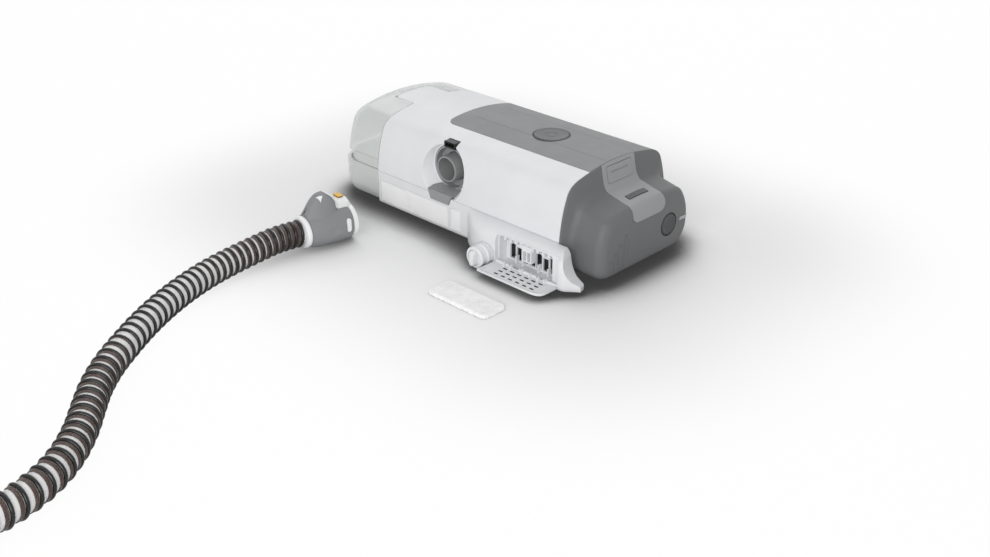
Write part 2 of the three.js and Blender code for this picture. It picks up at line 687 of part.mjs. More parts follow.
function outletSpigot() {
  const backY = CUP_BACK_Y + GAP;
  const profile = [
    [OUTLET_BORE_R, OUTLET_TIP_Y], [OUTLET_R - 0.5, OUTLET_TIP_Y], [OUTLET_R, OUTLET_TIP_Y + 0.7],
    [OUTLET_R + 0.4, backY], [OUTLET_R + 3, backY], [OUTLET_R + 3, backY + 2], [OUTLET_BORE_R, backY + 2],
  ];
  const points = [...profile, profile[0]].map(([r, y]) => new THREE.Vector2(r, y));
  const geometry = new THREE.LatheGeometry(points, 32);
  geometry.translate(OUTLET_X, 0, OUTLET_Z);
  return toSolid(geometry);
}

const SLOT_IN = 1.3;
const SLOT_L = 7;

function socketSlot() {
  return box(
    SOCKET_X + SLOT_IN, SOCKET_X + SOCKET_W - SLOT_IN, 0, SOCKET_FACE_Y + SLOT_L,
    SOCKET_Z + SLOT_IN, SOCKET_Z + SOCKET_H - SLOT_IN,
  );
}

function contactSocket() {
  return socketSpace(0)
    .subtract(box(0, SHELL_LENGTH, -9, SOCKET_FACE_Y, 0, HEIGHT))
    .subtract(socketSlot());
}

function socketContacts() {
  const pins = [1, 2, 3].map((place) => {
    const x = SOCKET_X + (SOCKET_W * place) / 4;
    const low = SOCKET_Z + SLOT_IN + GAP;
    return box(x - 0.7, x + 0.7, SOCKET_FACE_Y + 1.5, SOCKET_FACE_Y + SLOT_L - GAP, low, low + 0.8);
  });
  const bridgeY = SOCKET_FACE_Y + SLOT_L - GAP;
  const low = SOCKET_Z + SLOT_IN + GAP;
  const bridge = box(SOCKET_X + 2.4, SOCKET_X + SOCKET_W - 2.4, bridgeY - 0.6, bridgeY, low, low + 0.8);
  return join(...pins, bridge);
}

// A round tube with an open bore along a smooth path
function duct(points, outerR, boreR, steps) {
  const ring = new THREE.Shape();
  ring.absarc(0, 0, outerR, 0, Math.PI * 2);
  const bore = new THREE.Path();
  bore.absarc(0, 0, boreR, 0, Math.PI * 2, true);
  ring.holes.push(bore);
  const places = points.map((point) => new THREE.Vector3(...point));
  const path = new THREE.CatmullRomCurve3(places, false, 'centripetal');
  const geometry = new THREE.ExtrudeGeometry(ring, { steps, extrudePath: path, curveSegments: 5 });
  return toSolid(geometry);
}

function returnDuct() {
  const y1 = CUP_BACK_Y + 2 + 2 * GAP;
  return duct([
    [WALL + GAP + 2, PORT_RETURN_Y, PORT_Z], [WALL + 12, PORT_RETURN_Y, PORT_Z],
    [OUTLET_X - 30.3, PORT_RETURN_Y - 3, PORT_Z - 0.5],
    [OUTLET_X - 4.3, y1 + 18.9, OUTLET_Z], [OUTLET_X, y1 + 8, OUTLET_Z], [OUTLET_X, y1, OUTLET_Z],
  ], PORT_R + 1.4, PORT_R, 11);
}

const VOLUTE_OUT_Y = BLOWER_Y + 18;
const VOLUTE_OUT_X = BLOWER_X - BLOWER_R - 4;
const VOLUTE_OUT_Z = BLOWER_Z + BLOWER_H / 2;

function supplyDuct() {
  return duct([
    [VOLUTE_OUT_X - GAP, VOLUTE_OUT_Y, VOLUTE_OUT_Z], [VOLUTE_OUT_X - 12, VOLUTE_OUT_Y, VOLUTE_OUT_Z],
    [VOLUTE_OUT_X - 36, VOLUTE_OUT_Y - 2, PORT_Z - 18], [WALL + 19.8, PORT_SUPPLY_Y + 2, PORT_Z - 4],
    [WALL + 12, PORT_SUPPLY_Y, PORT_Z], [WALL + GAP + 2, PORT_SUPPLY_Y, PORT_Z],
  ], PORT_R + 1.4, PORT_R, 11);
}

function dockSeals() {
  const ports = [PORT_RETURN_Y, PORT_SUPPLY_Y];
  const reach = PORT_R + 2.6;
  const plate = box(
    WALL + GAP, WALL + 2, PORT_RETURN_Y - reach, PORT_SUPPLY_Y + reach, PORT_Z - reach, PORT_Z + reach,
  );
  const sleeves = ports.map((y) => rodX(y, PORT_Z, 0, WALL + 1, PORT_R + 1.3, 20));
  const bores = ports.map((y) => rodX(y, PORT_Z, -1, WALL + 3, PORT_R, 20));
  return join(plate, ...sleeves).subtract(join(...bores));
}

// Blower
function blowerHousing() {
  const z1 = BLOWER_Z + BLOWER_H;
  const can = rodZ(BLOWER_X, BLOWER_Y, BLOWER_Z, z1, BLOWER_R, 32);
  const outlet = rodX(VOLUTE_OUT_Y, VOLUTE_OUT_Z, VOLUTE_OUT_X, BLOWER_X - 8, PORT_R + 2.2, 20);
  const inside = rodZ(BLOWER_X, BLOWER_Y, BLOWER_Z + BLOWER_WALL, z1 - BLOWER_WALL, BLOWER_R - BLOWER_WALL, 32);
  const bore = rodX(VOLUTE_OUT_Y, VOLUTE_OUT_Z, VOLUTE_OUT_X - 1, BLOWER_X - 12, PORT_R, 20);
  const inlet = rodZ(BLOWER_X, BLOWER_Y, BLOWER_Z - 1, BLOWER_Z + 4, 12, 24);
  const shaftHole = rodZ(BLOWER_X, BLOWER_Y, z1 - 4, z1 + 1, 3, 16);
  return join(can, outlet).subtract(inside).subtract(bore).subtract(inlet).subtract(shaftHole);
}

function blowerImpeller() {
  const z0 = BLOWER_Z + BLOWER_WALL + 2;
  const z1 = BLOWER_Z + BLOWER_H - BLOWER_WALL - 3;
  let wheel = rodZ(BLOWER_X, BLOWER_Y, z1 - 1.6, z1, IMPELLER_R, 32);
  wheel = wheel.add(rodZ(BLOWER_X, BLOWER_Y, z0 + 4, z1, 6, 16));
  wheel = wheel.add(rodZ(BLOWER_X, BLOWER_Y, z1 - 1, BLOWER_Z + BLOWER_H + 4, 1.5, 12));
  for (let i = 0; i < IMPELLER_BLADES; i += 1) {
    const blade = new THREE.BoxGeometry(IMPELLER_R - 9, 1.4, z1 - z0);
    blade.rotateZ(-0.5);
    blade.translate(IMPELLER_R - 9.5, 0, (z0 + z1) / 2);
    blade.rotateZ((i / IMPELLER_BLADES) * Math.PI * 2);
    blade.translate(BLOWER_X, BLOWER_Y, 0);
    wheel = wheel.add(toSolid(blade));
  }
  return wheel;
}

function blowerMotor() {
  const low = BLOWER_Z + BLOWER_H + GAP;
  const can = rodZ(BLOWER_X, BLOWER_Y, low, low + MOTOR_H, MOTOR_R, 24);
  return can.subtract(rodZ(BLOWER_X, BLOWER_Y, low - 1, low + 6, 1.5 + GAP, 12));
}

function blowerMounts() {
  const mounts = [0, 1, 2].map((place) => {
    const angle = (place / 3) * Math.PI * 2 + 0.5;
    const x = BLOWER_X + (BLOWER_R - 8) * Math.cos(angle);
    const y = BLOWER_Y + (BLOWER_R - 8) * Math.sin(angle);
    return rodZ(x, y, BASE_Z + WALL + GAP, BLOWER_Z - GAP, 5, 12, 4);
  });
  const low = BASE_Z + WALL + GAP;
  const ring = rodZ(BLOWER_X, BLOWER_Y, low, low + 1.5, BLOWER_R - 3, 24)
    .subtract(rodZ(BLOWER_X, BLOWER_Y, 0, BLOWER_Z, BLOWER_R - 13, 24));
  return join(ring, ...mounts);
}

function muffler() {
  return box(BAY_MODULE_X + 2, BAY_X + 8, WALL + GAP, 27, BASE_Z + WALL + GAP, PARTING_Z - 2.5);
}

function mainBoard() {
  const top = BOARD_Z + BOARD_T - 0.1;
  return join(
    box(BOARD_X, BOARD_X + BOARD_L, BOARD_Y, BOARD_Y + BOARD_W, BOARD_Z, BOARD_Z + BOARD_T),
    box(BOARD_X + 12, BOARD_X + 26, BOARD_Y + 12, BOARD_Y + 26, top, top + 1.8),
    box(BOARD_X + 12, BOARD_X + 22, BOARD_Y + 36, BOARD_Y + 44, top, top + 2.4),
    rodZ(BOARD_X + 58, BOARD_Y + 46, top, top + 5, 4, 12),
    box(BOARD_X + 34, BOARD_X + 52, BOARD_Y + 48, BOARD_Y + 54, top, top + 4),
  );
}

// Filter grid at the back of the bay, and the slotted door on its pin
function filterGrid() {
  const x0 = BAY_X + GAP;
  const x1 = bayX1 - GAP;
  const z0 = BAY_FLOOR_Z + GAP;
  const z1 = BAY_TOP_Z - GAP;
  let grid = box(x0, x1, -4.2, -2.2 - GAP, z0, z1);
  const bars = 7;
  const pitch = (BAY_W - 8) / bars;
  for (let i = 0; i < bars; i += 1) {
    const x = BAY_X + 4 + pitch * (i + 0.5);
    grid = grid.subtract(box(x - pitch / 2 + 1, x + pitch / 2 - 1, -6, 0, z0 + 3, z1 - 3));
  }
  const middle = (x0 + x1) / 2;
  return grid.add(box(middle - 2.4, middle + 2.4, -6.5, -4, z1 - 9, z1));
}

const DOOR_SLOTS = 6;
const DOOR_SLOT_PITCH = 7.3;
const DOOR_ROW_PITCH = 5.1;
const DOOR_SLOT_ROWS = 3;

function filterDoor() {
  const low = DOOR_HINGE_Z - DOOR_T / 2 - 0.2;
  const top = low + DOOR_T;
  const x1 = DOOR_X + DOOR_W;
  const outY = DOOR_HINGE_Y - DOOR_L;
  const plan = roundedLoop(DOOR_X, x1, outY, DOOR_HINGE_Y, [2, 9, 0.3, 0.3], 5);
  const side = [
    [DOOR_HINGE_Y + 1, low], [DOOR_HINGE_Y + 1, top], [outY + 7, top], [outY + 3, top + 0.4],
    [outY - 1, top + 1.6], [outY - 1, low + 1.9], [outY + 3, low + 0.5], [outY + 7, low],
  ];
  let door = prismZ(plan, low - 1, top + 5).intersect(prismX(side, DOOR_X - 1, x1 + 1));
  door = door.add(rodX(DOOR_HINGE_Y, DOOR_HINGE_Z, DOOR_X, x1, DOOR_BARREL_R, 16));
  const middle = DOOR_X + DOOR_W / 2 + 1.7;
  for (let row = 0; row < DOOR_SLOT_ROWS; row += 1) {
    const y = DOOR_HINGE_Y - 6 - row * DOOR_ROW_PITCH;
    for (let i = 0; i < DOOR_SLOTS; i += 1) {
      const x = middle + (i - (DOOR_SLOTS - 1) / 2) * DOOR_SLOT_PITCH;
      door = door.subtract(box(x - 2, x + 2, y - 0.8, y + 0.8, low - 1, top + 1));
    }
  }
  return door.subtract(rodX(DOOR_HINGE_Y, DOOR_HINGE_Z, DOOR_X - 1, x1 + 1, DOOR_PIN_R + GAP, 12));
}

function doorPin() {
  return rodX(DOOR_HINGE_Y, DOOR_HINGE_Z, DOOR_X - 3 + GAP, DOOR_X + DOOR_W + 3 - GAP, DOOR_PIN_R, 12);
}

function filterPad() {
  const corners = [4, 4, 4, 4];
  const side = (inset) => roundedLoop(
    PAD_X + inset, PAD_X + PAD_W - inset, PAD_Y + inset, PAD_Y + PAD_D - inset, corners,
  );
  return loft([ringZ(side(0.8), 0), ringZ(side(0), 1), ringZ(side(0), PAD_T - 1), ringZ(side(0.8), PAD_T)]);
}

// Oxygen port and its cap
const OXYGEN_FACE_Y = -BAY_MODULE_OUT - GAP;
const OXYGEN_COLLAR_T = 2.1;

function oxygenPort() {
  const tube = rodY(OXYGEN_X, OXYGEN_Z, OXYGEN_FACE_Y - 8, 0, 3.3, 16);
  const collar = rodY(OXYGEN_X, OXYGEN_Z, OXYGEN_FACE_Y - OXYGEN_COLLAR_T, OXYGEN_FACE_Y, OXYGEN_CAP_R, 24);
  return join(tube, collar).subtract(rodY(OXYGEN_X, OXYGEN_Z, OXYGEN_FACE_Y - 9, 1, 1.8, 12));
}

function oxygenCap() {
  const y1 = OXYGEN_FACE_Y - OXYGEN_COLLAR_T - GAP;
  const y0 = y1 - OXYGEN_CAP_L;
  const skirt = rodY(OXYGEN_X, OXYGEN_Z, y0 + 5, y1, OXYGEN_CAP_R - 0.8, 32, OXYGEN_CAP_R);
  const knob = rodY(OXYGEN_X, OXYGEN_Z, y0 + 3, y0 + 6, OXYGEN_CAP_R - 2.2, 32);
  const gripHalf = OXYGEN_CAP_R - 1.6;
  const grip = box(OXYGEN_X - 1.8, OXYGEN_X + 1.8, y0, y0 + 6, OXYGEN_Z - gripHalf, OXYGEN_Z + gripHalf);
  const ear = rodY(OXYGEN_X - OXYGEN_CAP_R - 0.5, OXYGEN_Z - 1, y1 - 3, y1 - 0.4, 4.2, 16);
  const bore = rodY(OXYGEN_X, OXYGEN_Z, OXYGEN_FACE_Y - 8 - GAP, y1 + 1, 3.3 + GAP, 16);
  return join(skirt, knob, grip, ear).subtract(bore);
}

// Battery pack
const BATTERY_STATIONS = [
  [0, 0, 0], [0.6, 0.03, 0.3], [2.3, 0.4, 8], [4.3, 0.78, 15.5], [7.3, 0.95, 19.6], [9.5, 1, 20.5],
];

function batteryBody(shiftX = 0, shiftZ = 0, wall = 0) {
  const top = HEIGHT - BATTERY_SHELF_Z;
  const ringAt = (x, side, drop, edgeR) => {
    const farR = edgeR + (BATTERY_FAR_R - 8) * Math.min(1, side / BATTERY_SIDE_IN);
    return ringX(fullLoop(side + wall, drop + wall, BATTERY_FLOOR_Z + wall, edgeR, farR), x);
  };
  const rings = BATTERY_STATIONS.map(([run, share, drop]) => (
    ringAt(BATTERY_X + run, BATTERY_SIDE_IN * share, drop * (top / 20.5), 4 + 4 * share)
  ));
  const end = BATTERY_END_X;
  rings.push(ringAt(end - 6, BATTERY_SIDE_IN + 0.4, top + BATTERY_SHELF_FALL, 8));
  rings.push(ringAt(end - 3, BATTERY_SIDE_IN + 1.6, top + BATTERY_SHELF_FALL + 1.2, 8));
  rings.push(ringAt(end - 0.9, BATTERY_SIDE_IN + 4, top + BATTERY_SHELF_FALL + 3.6, 8));
  rings.push(ringAt(end, BATTERY_SIDE_IN + 8, top + BATTERY_SHELF_FALL + 8, 8));
  return loft(rings).translate([shiftX, 0, shiftZ]);
}

function skin(region, outX, outZ, inX, inZ) {
  return region.intersect(batteryBody(outX, outZ)).subtract(batteryBody(-inX, -inZ));
}

const RELEASE_Y = 50.4;
const RELEASE_W = 28.4;
const RELEASE_Z = BATTERY_SHELF_Z + 4.8;
const RELEASE_H = 12.6;
const RELEASE_TRAVEL = 1;
const WINDOW_X = BATTERY_X + 18.5;
const WINDOW_W = 4.6;
const WINDOW_Y = 53;
const WINDOW_L = 22.5;
const LIGHT_Y = 104.5;
const LIGHT_L = 10.5;
const LIGHT_IN = 4.2;
const LIGHT_Z = 27.6;
const LIGHT_H = 2.8;

const inlayRegion = (grow) => box(
  BATTERY_X - 5, BATTERY_END_X + 9, INLAY_Y - grow, INLAY_Y + INLAY_W + grow, INLAY_LOW_Z - grow, HEIGHT + 5,
);
const releaseRegion = (grow) => box(
  BATTERY_X - 5, BATTERY_X + 20, RELEASE_Y - grow, RELEASE_Y + RELEASE_W + grow,
  RELEASE_Z - grow, RELEASE_Z + RELEASE_H + grow,
);
const windowRegion = (grow) => box(
  WINDOW_X - grow, WINDOW_X + WINDOW_W + grow, WINDOW_Y - grow, WINDOW_Y + WINDOW_L + grow,
  BATTERY_SHELF_Z - 12, BATTERY_SHELF_Z + 8,
);
const lightRegion = (grow) => box(
  BATTERY_END_X - LIGHT_IN - grow, BATTERY_END_X + 9, LIGHT_Y - grow, LIGHT_Y + LIGHT_L + grow,
  LIGHT_Z - grow, LIGHT_Z + LIGHT_H + grow,
);

const PACK_WALL = 2.4;

function batteryCase() {
  let shell = batteryBody();
  const sleeveHole = box(
    BATTERY_X - 1, BATTERY_X + 6, SLEEVE_Y - GAP, sleeveY1 + GAP, SLEEVE_Z - GAP, sleeveZ1 + GAP,
  );
  const hollowTo = (sideIn, topZ) => box(
    BATTERY_X + 5, BATTERY_END_X - PACK_WALL, BATTERY_SIDE_IN + sideIn, DEPTH - BATTERY_SIDE_IN - sideIn,
    SLEEVE_Z, topZ,
  );
  const hollow = join(hollowTo(5, BATTERY_SHELF_Z - 15), hollowTo(17, BATTERY_SHELF_Z - 9.6))
    .intersect(batteryBody(0, 0, PACK_WALL - 0.6));
  shell = shell.subtract(sleeveHole).subtract(hollow);
  shell = shell.subtract(inlayRegion(GAP).subtract(batteryBody(-1.1, -1)));
  shell = shell.subtract(releaseRegion(GAP));
  shell = shell.subtract(windowRegion(GAP).subtract(batteryBody(-2.3, -2.1)));
  shell = shell.subtract(lightRegion(GAP));
  return shell.subtract(rodX(
    CHECK_BUTTON_Y, CHECK_BUTTON_Z, BATTERY_END_X - 9, BATTERY_END_X + 9, CHECK_BUTTON_R + GAP, 32,
  ));
}

function batteryInlay() {
  return skin(inlayRegion(0), 0.5, 0.1, 0.8, 0.7)
    .subtract(box(BATTERY_X - 9, BATTERY_X + 0.2, 0, DEPTH, 0, HEIGHT + 9))
    .subtract(releaseRegion(GAP))
    .subtract(windowRegion(GAP));
}

function releaseButton() {
  const backX = BATTERY_X - GAP + RELEASE_TRAVEL + 0.4;
  return releaseRegion(0).intersect(batteryBody(0.9, 0.3))
    .subtract(box(0, backX, 0, DEPTH, 0, HEIGHT + 9));
}

function chargeWindow() {
  return skin(windowRegion(0), 0.3, 0.2, 2, 1.8);
}

function batteryLight() {
  return lightRegion(0).intersect(batteryBody(0.2, 0));
}

const PACK_BOARD_X = BATTERY_END_X - 9.4;

function checkButton() {
  const endX = BATTERY_END_X + 0.3;
  const rear = BATTERY_END_X - PACK_WALL + 0.8;
  const disc = rodX(CHECK_BUTTON_Y, CHECK_BUTTON_Z, rear, endX, CHECK_BUTTON_R, 32);
  const dish = rodX(CHECK_BUTTON_Y, CHECK_BUTTON_Z, endX - 0.5, endX + 1, CHECK_BUTTON_R - 2.2, 32);
  const stem = rodX(CHECK_BUTTON_Y, CHECK_BUTTON_Z, PACK_BOARD_X + BOARD_T + 1, rear + 0.5, 3, 16);
  return disc.subtract(dish).add(stem);
}

function batterySleeve() {
  const outer = box(SLEEVE_X, BATTERY_X + 4.4, SLEEVE_Y, sleeveY1, SLEEVE_Z, sleeveZ1);
  const hollow = box(
    SLEEVE_X + SLEEVE_WALL, BATTERY_X + 9, SLEEVE_Y + SLEEVE_WALL, sleeveY1 - SLEEVE_WALL,
    SLEEVE_Z + SLEEVE_WALL, sleeveZ1 - SLEEVE_WALL,
  );
  const contactSlot = box(SLEEVE_X - 1, SLEEVE_X + 4, CENTRE_Y - 9, CENTRE_Y + 9, 22, 30);
  return outer.subtract(hollow).subtract(contactSlot);
}

function batteryCells() {
  const cells = [];
  for (let column = 0; column < 3; column += 1) {
    for (let row = 0; row < 2; row += 1) {
      const x = SLEEVE_X + SLEEVE_WALL + GAP + CELL_D / 2 + column * (CELL_D + 0.5);
      const z = SLEEVE_Z + SLEEVE_WALL + GAP + CELL_D / 2 + row * (CELL_D + 0.4);
      const y = CENTRE_Y - CELL_L / 2;
      cells.push(rodY(x, z, y, y + CELL_L, CELL_D / 2, 14));
    }
  }
  const x0 = SLEEVE_X + SLEEVE_WALL + GAP + CELL_D / 2;
  const z0 = SLEEVE_Z + SLEEVE_WALL + GAP + CELL_D / 2;
  const holder = box(x0, x0 + 2 * (CELL_D + 0.5), CENTRE_Y - 3, CENTRE_Y + 3, z0, z0 + CELL_D + 0.4);
  return join(holder, ...cells);
}

function batteryBoard() {
  return box(
    PACK_BOARD_X, PACK_BOARD_X + BOARD_T, BATTERY_SIDE_IN + 7, DEPTH - BATTERY_SIDE_IN - 11,
    SLEEVE_Z + GAP, BATTERY_SHELF_Z - 18,
  );
}

function batterySocket() {
  const plug = box(SLEEVE_X - 7, SLEEVE_X - GAP, CENTRE_Y - 12, CENTRE_Y + 12, BASE_Z + WALL + GAP, 34);
  const blades = [-6, -2, 2, 6].map((shift) => (
    box(SLEEVE_X - 2, SLEEVE_X + 1.2, CENTRE_Y + shift - 0.5, CENTRE_Y + shift + 0.5, 23, 29)
  ));
  return join(plug, ...blades);
}

// Rubber foot strips and screws
function footSolid(x, grow, lowZ = 0) {
  const round = FOOT_W / 2 + grow - 0.1;
  const loop = roundedLoop(
    x - FOOT_W / 2 - grow, x + FOOT_W / 2 + grow, FOOT_SIDE_IN - grow, DEPTH - FOOT_SIDE_IN + grow,
    [round, round, round, round], 3,
  );
  return prismZ(loop, lowZ, BASE_Z + FOOT_INSET + grow);
}

function baseScrew([x, y]) {
  return join(
    rodZ(x, y, BASE_Z + 0.4, BASE_Z + 2.3, SCREW_HEAD_R, 12),
    rodZ(x, y, BASE_Z + 2, SCREW_TOP_Z - 0.5, SCREW_R, 8),
  );
}

function dcInlet() {
  const half = DC_SIZE / 2 - GAP;
  const body = box(DC_X - half, DC_X + half, DEPTH - 14, DEPTH - GAP, DC_Z - half, DC_Z + half);
  const mouth = rodY(DC_X, DC_Z, DEPTH - 10, DEPTH + 1, 4.6, 20);
  return body.subtract(mouth).add(rodY(DC_X, DC_Z, DEPTH - 11, DEPTH - 8, 1, 10));
}

// Water chamber
function tubPlan(endX, sideIn, radius) {
  return roundedLoop(endX, -0.5, sideIn, DEPTH - sideIn, [radius, 0.3, 0.3, radius], 6);
}

function waterTub() {
  const plan = (endIn, sideIn) => tubPlan(TUB_END_X + endIn, sideIn, TUB_CORNER_R);
  const outer = loft([
    ringZ(plan(6, 3), TUB_LOW_Z), ringZ(plan(2.5, 1), TUB_LOW_Z + 2.4),
    ringZ(plan(0.6, 0.2), TUB_LOW_Z + 6.4), ringZ(plan(0, 0), TUB_RIM_Z),
  ]);
  const cavityLoop = roundedLoop(
    TUB_END_X + TUB_WALL, -0.5 - TUB_WALL, TUB_WALL, DEPTH - TUB_WALL,
    [TUB_CORNER_R - TUB_WALL, 1, 1, TUB_CORNER_R - TUB_WALL], 6,
  );
  const cavity = prismZ(cavityLoop, TUB_FLOOR_Z + TUB_FLOOR_T, TUB_RIM_Z + 5);
  const trayWay = box(-43, 5, TRAY_SIDE_IN - 1.5, DEPTH - TRAY_SIDE_IN + 1.5, 0, TUB_FLOOR_Z);
  const platePocket = box(-39 - GAP, -5 + GAP, 29 - GAP, DEPTH - 29 + GAP, 0, TUB_FLOOR_Z + 1 + GAP);
  let tub = outer.subtract(cavity).subtract(trayWay).subtract(platePocket);
  for (const y0 of [CENTRE_Y - 18, CENTRE_Y + 10]) {
    const block = box(TUB_END_X + 1.5, LID_HINGE_X + 1.3, y0, y0 + 8, TUB_RIM_Z - 3, TUB_RIM_Z + 1.2);
    const neck = box(LID_HINGE_X - 1.3, LID_HINGE_X + 1.3, y0, y0 + 8, TUB_RIM_Z, LID_HINGE_Z);
    tub = join(tub, block, neck, rodY(LID_HINGE_X, LID_HINGE_Z, y0, y0 + 8, KNUCKLE_R, 16));
  }
  return tub.subtract(rodY(LID_HINGE_X, LID_HINGE_Z, CENTRE_Y - 30, CENTRE_Y + 30, LID_PIN_R + GAP, 12));
}

function tubHeatPlate() {
  return box(-39, -5, 29, DEPTH - 29, TUB_FLOOR_Z, TUB_FLOOR_Z + 1);
}

function heaterPlate() {
  return box(-38, -6, 30, DEPTH - 30, TRAY_TOP_Z + GAP, HEATER_TOP_Z);
}

const manifoldY1 = TONGUE_Y + TONGUE_W - 0.2;

function tubManifold() {
  const top = HEIGHT - TONGUE_T - 3.3;
  const outer = box(-TONGUE_L, -0.8, TONGUE_Y + 0.2, manifoldY1, TUB_RIM_Z + GAP, top);
  const hollow = box(-TONGUE_L + 1.6, -2.4, TONGUE_Y + 1.8, manifoldY1 - 1.6, TUB_RIM_Z - 1, top - 1.6);
  return outer.subtract(hollow)
    .subtract(rodX(PORT_RETURN_Y, PORT_Z, -4, 1, PORT_R, 20))
    .subtract(rodX(PORT_SUPPLY_Y, PORT_Z, -4, 1, PORT_R, 20));
}

function tubLid() {
  const notch = (grow) => box(
    -TONGUE_L - 0.6 - grow, 9, TONGUE_Y - 0.5 - grow, TONGUE_Y + TONGUE_W + 0.5 + grow, 0, HEIGHT + 9,
  );
  const inside = lidBody(LID_WALL, -0.5 - LID_WALL).subtract(notch(LID_WALL));
  let lid = lidBody(0, -0.5).subtract(inside).subtract(notch(0));
  lid = lid.subtract(box(-90, 9, -9, DEPTH + 9, 0, LID_LOW_Z));
  const y0 = CENTRE_Y - 9.5;
  const y1 = CENTRE_Y + 9.5;
  lid = lid.add(rodY(LID_HINGE_X, LID_HINGE_Z, y0, y1, KNUCKLE_R, 16));
  lid = lid.add(box(LID_HINGE_X - 1.3, LID_HINGE_X + 1.3, y0, y1, LID_HINGE_Z, LID_LOW_Z + 2));
  return lid.subtract(rodY(LID_HINGE_X, LID_HINGE_Z, CENTRE_Y - 30, CENTRE_Y + 30, LID_PIN_R + GAP, 12));
}

function lidHingePin() {
  return rodY(LID_HINGE_X, LID_HINGE_Z, CENTRE_Y - 18, CENTRE_Y + 18, LID_PIN_R, 12);
}

function lidSeal() {
  const seal = (inset) => roundedLoop(
    LID_HINGE_X + KNUCKLE_R + GAP + inset, -0.8 - inset, 1.6 + inset, DEPTH - 1.6 - inset,
    [16 - inset, 0.5, 0.5, 16 - inset], 6,
  );
  return prismZ(seal(0), TUB_RIM_Z + GAP, LID_LOW_Z - GAP)
    .subtract(prismZ(seal(2.6), 0, HEIGHT))
    .subtract(box(-TONGUE_L - 1, 5, TONGUE_Y - GAP, manifoldY1 + GAP, 0, HEIGHT));
}

// Hose: a straight lead from the cuff, then a loose curve along the table
const HOSE_ROUTE = [
  [CUFF_X, CUFF_REAR_Y - GAP, CUFF_Z], [CUFF_X - 2.8, CUFF_REAR_Y - 22.5, CUFF_Z],
  [17, -141, 14], [17.2, -163, 12.3], [20.9, -187.5, 11.6], [28.3, -213, 11.2],
  [39.4, -239.3, 11.1], [53.2, -264.8, 11.1], [68.6, -288.7, 11.1], [84.9, -311.4, 11.1],
  [103, -331.5, 11.1], [121, -347.5, 11.1], [139, -363, 11.1], [156, -381, 11.1], [169, -400.5, 11.1],
  [177, -421, 11.1], [181, -443, 11.1], [182, -466, 11.1], [182, -497, 11.1], [182, -532, 11.1],
];
const [HOSE_END_X, HOSE_END_Y] = HOSE_ROUTE[HOSE_ROUTE.length - 1];
const COIL_START = new THREE.Vector3(HOSE_END_X, HOSE_END_Y - GAP, HOSE_R);

function hoseCurve() {
  const points = HOSE_ROUTE.map((point) => new THREE.Vector3(...point));
  return new THREE.CatmullRomCurve3(points, false, 'centripetal');
}

// Rings of points square to a route, given as points with their directions
function routeRings(places, radii, sides) {
  return places.map(({ point, along }, i) => {
    const side = new THREE.Vector3().crossVectors(along, up).normalize();
    const over = new THREE.Vector3().crossVectors(side, along).normalize();
    const ring = [];
    for (let j = 0; j < sides; j += 1) {
      const angle = ((j + 0.5) / sides) * Math.PI * 2;
      const out = side.clone().multiplyScalar(Math.cos(angle)).addScaledVector(over, Math.sin(angle));
      ring.push(point.clone().addScaledVector(out, radii[i]));
    }
    return ring;
  });
}

// A tube with an open bore from its outer and inner rings
function boredTube(outer, inner) {
  const positions = [];
  const quad = (a, b, c, d) => {
    for (const point of [a, b, c, a, c, d]) {
      positions.push(...point.toArray());
    }
  };
  const sides = outer[0].length;
  for (let j = 0; j < sides; j += 1) {
    const next = (j + 1) % sides;
    for (let i = 0; i + 1 < outer.length; i += 1) {
      quad(outer[i][j], outer[i][next], outer[i + 1][next], outer[i + 1][j]);
    }
    for (let i = 0; i + 1 < inner.length; i += 1) {
      quad(inner[i][next], inner[i][j], inner[i + 1][j], inner[i + 1][next]);
    }
    quad(outer[0][next], outer[0][j], inner[0][j], inner[0][next]);
    const lastOut = outer[outer.length - 1];
    const lastIn = inner[inner.length - 1];
    quad(lastOut[j], lastOut[next], lastIn[next], lastIn[j]);
  }
  const geometry = new THREE.BufferGeometry();
  geometry.setAttribute('position', new THREE.Float32BufferAttribute(facingOut(positions), 3));
  return toSolid(geometry);
}

function hoseRun() {
  const curve = hoseCurve();
  const length = curve.getLength();
  const ribs = Math.round((length - 4 * HOSE_R) / RIB_PITCH);
  const place = (share) => ({ point: curve.getPointAt(share), along: curve.getTangentAt(share) });
  const lead = (2 * HOSE_R) / length;
  const shares = [0];
  const radii = [HOSE_VALLEY_R];
  for (let i = 0; i < 2 * ribs; i += 1) {
    shares.push(lead + ((1 - 2 * lead) * (i + 0.5)) / (2 * ribs));
    radii.push(i % 2 ? HOSE_VALLEY_R : HOSE_R);
  }
  shares.push(1);
  radii.push(HOSE_VALLEY_R);
  const boreShares = shares.filter((share, i) => i === 0 || i === shares.length - 1 || i % 10 === 1);
  const outer = routeRings(shares.map(place), radii, 8);
  const inner = routeRings(boreShares.map(place), boreShares.map(() => HOSE_BORE_R), 8);
  return boredTube(outer, inner);
}

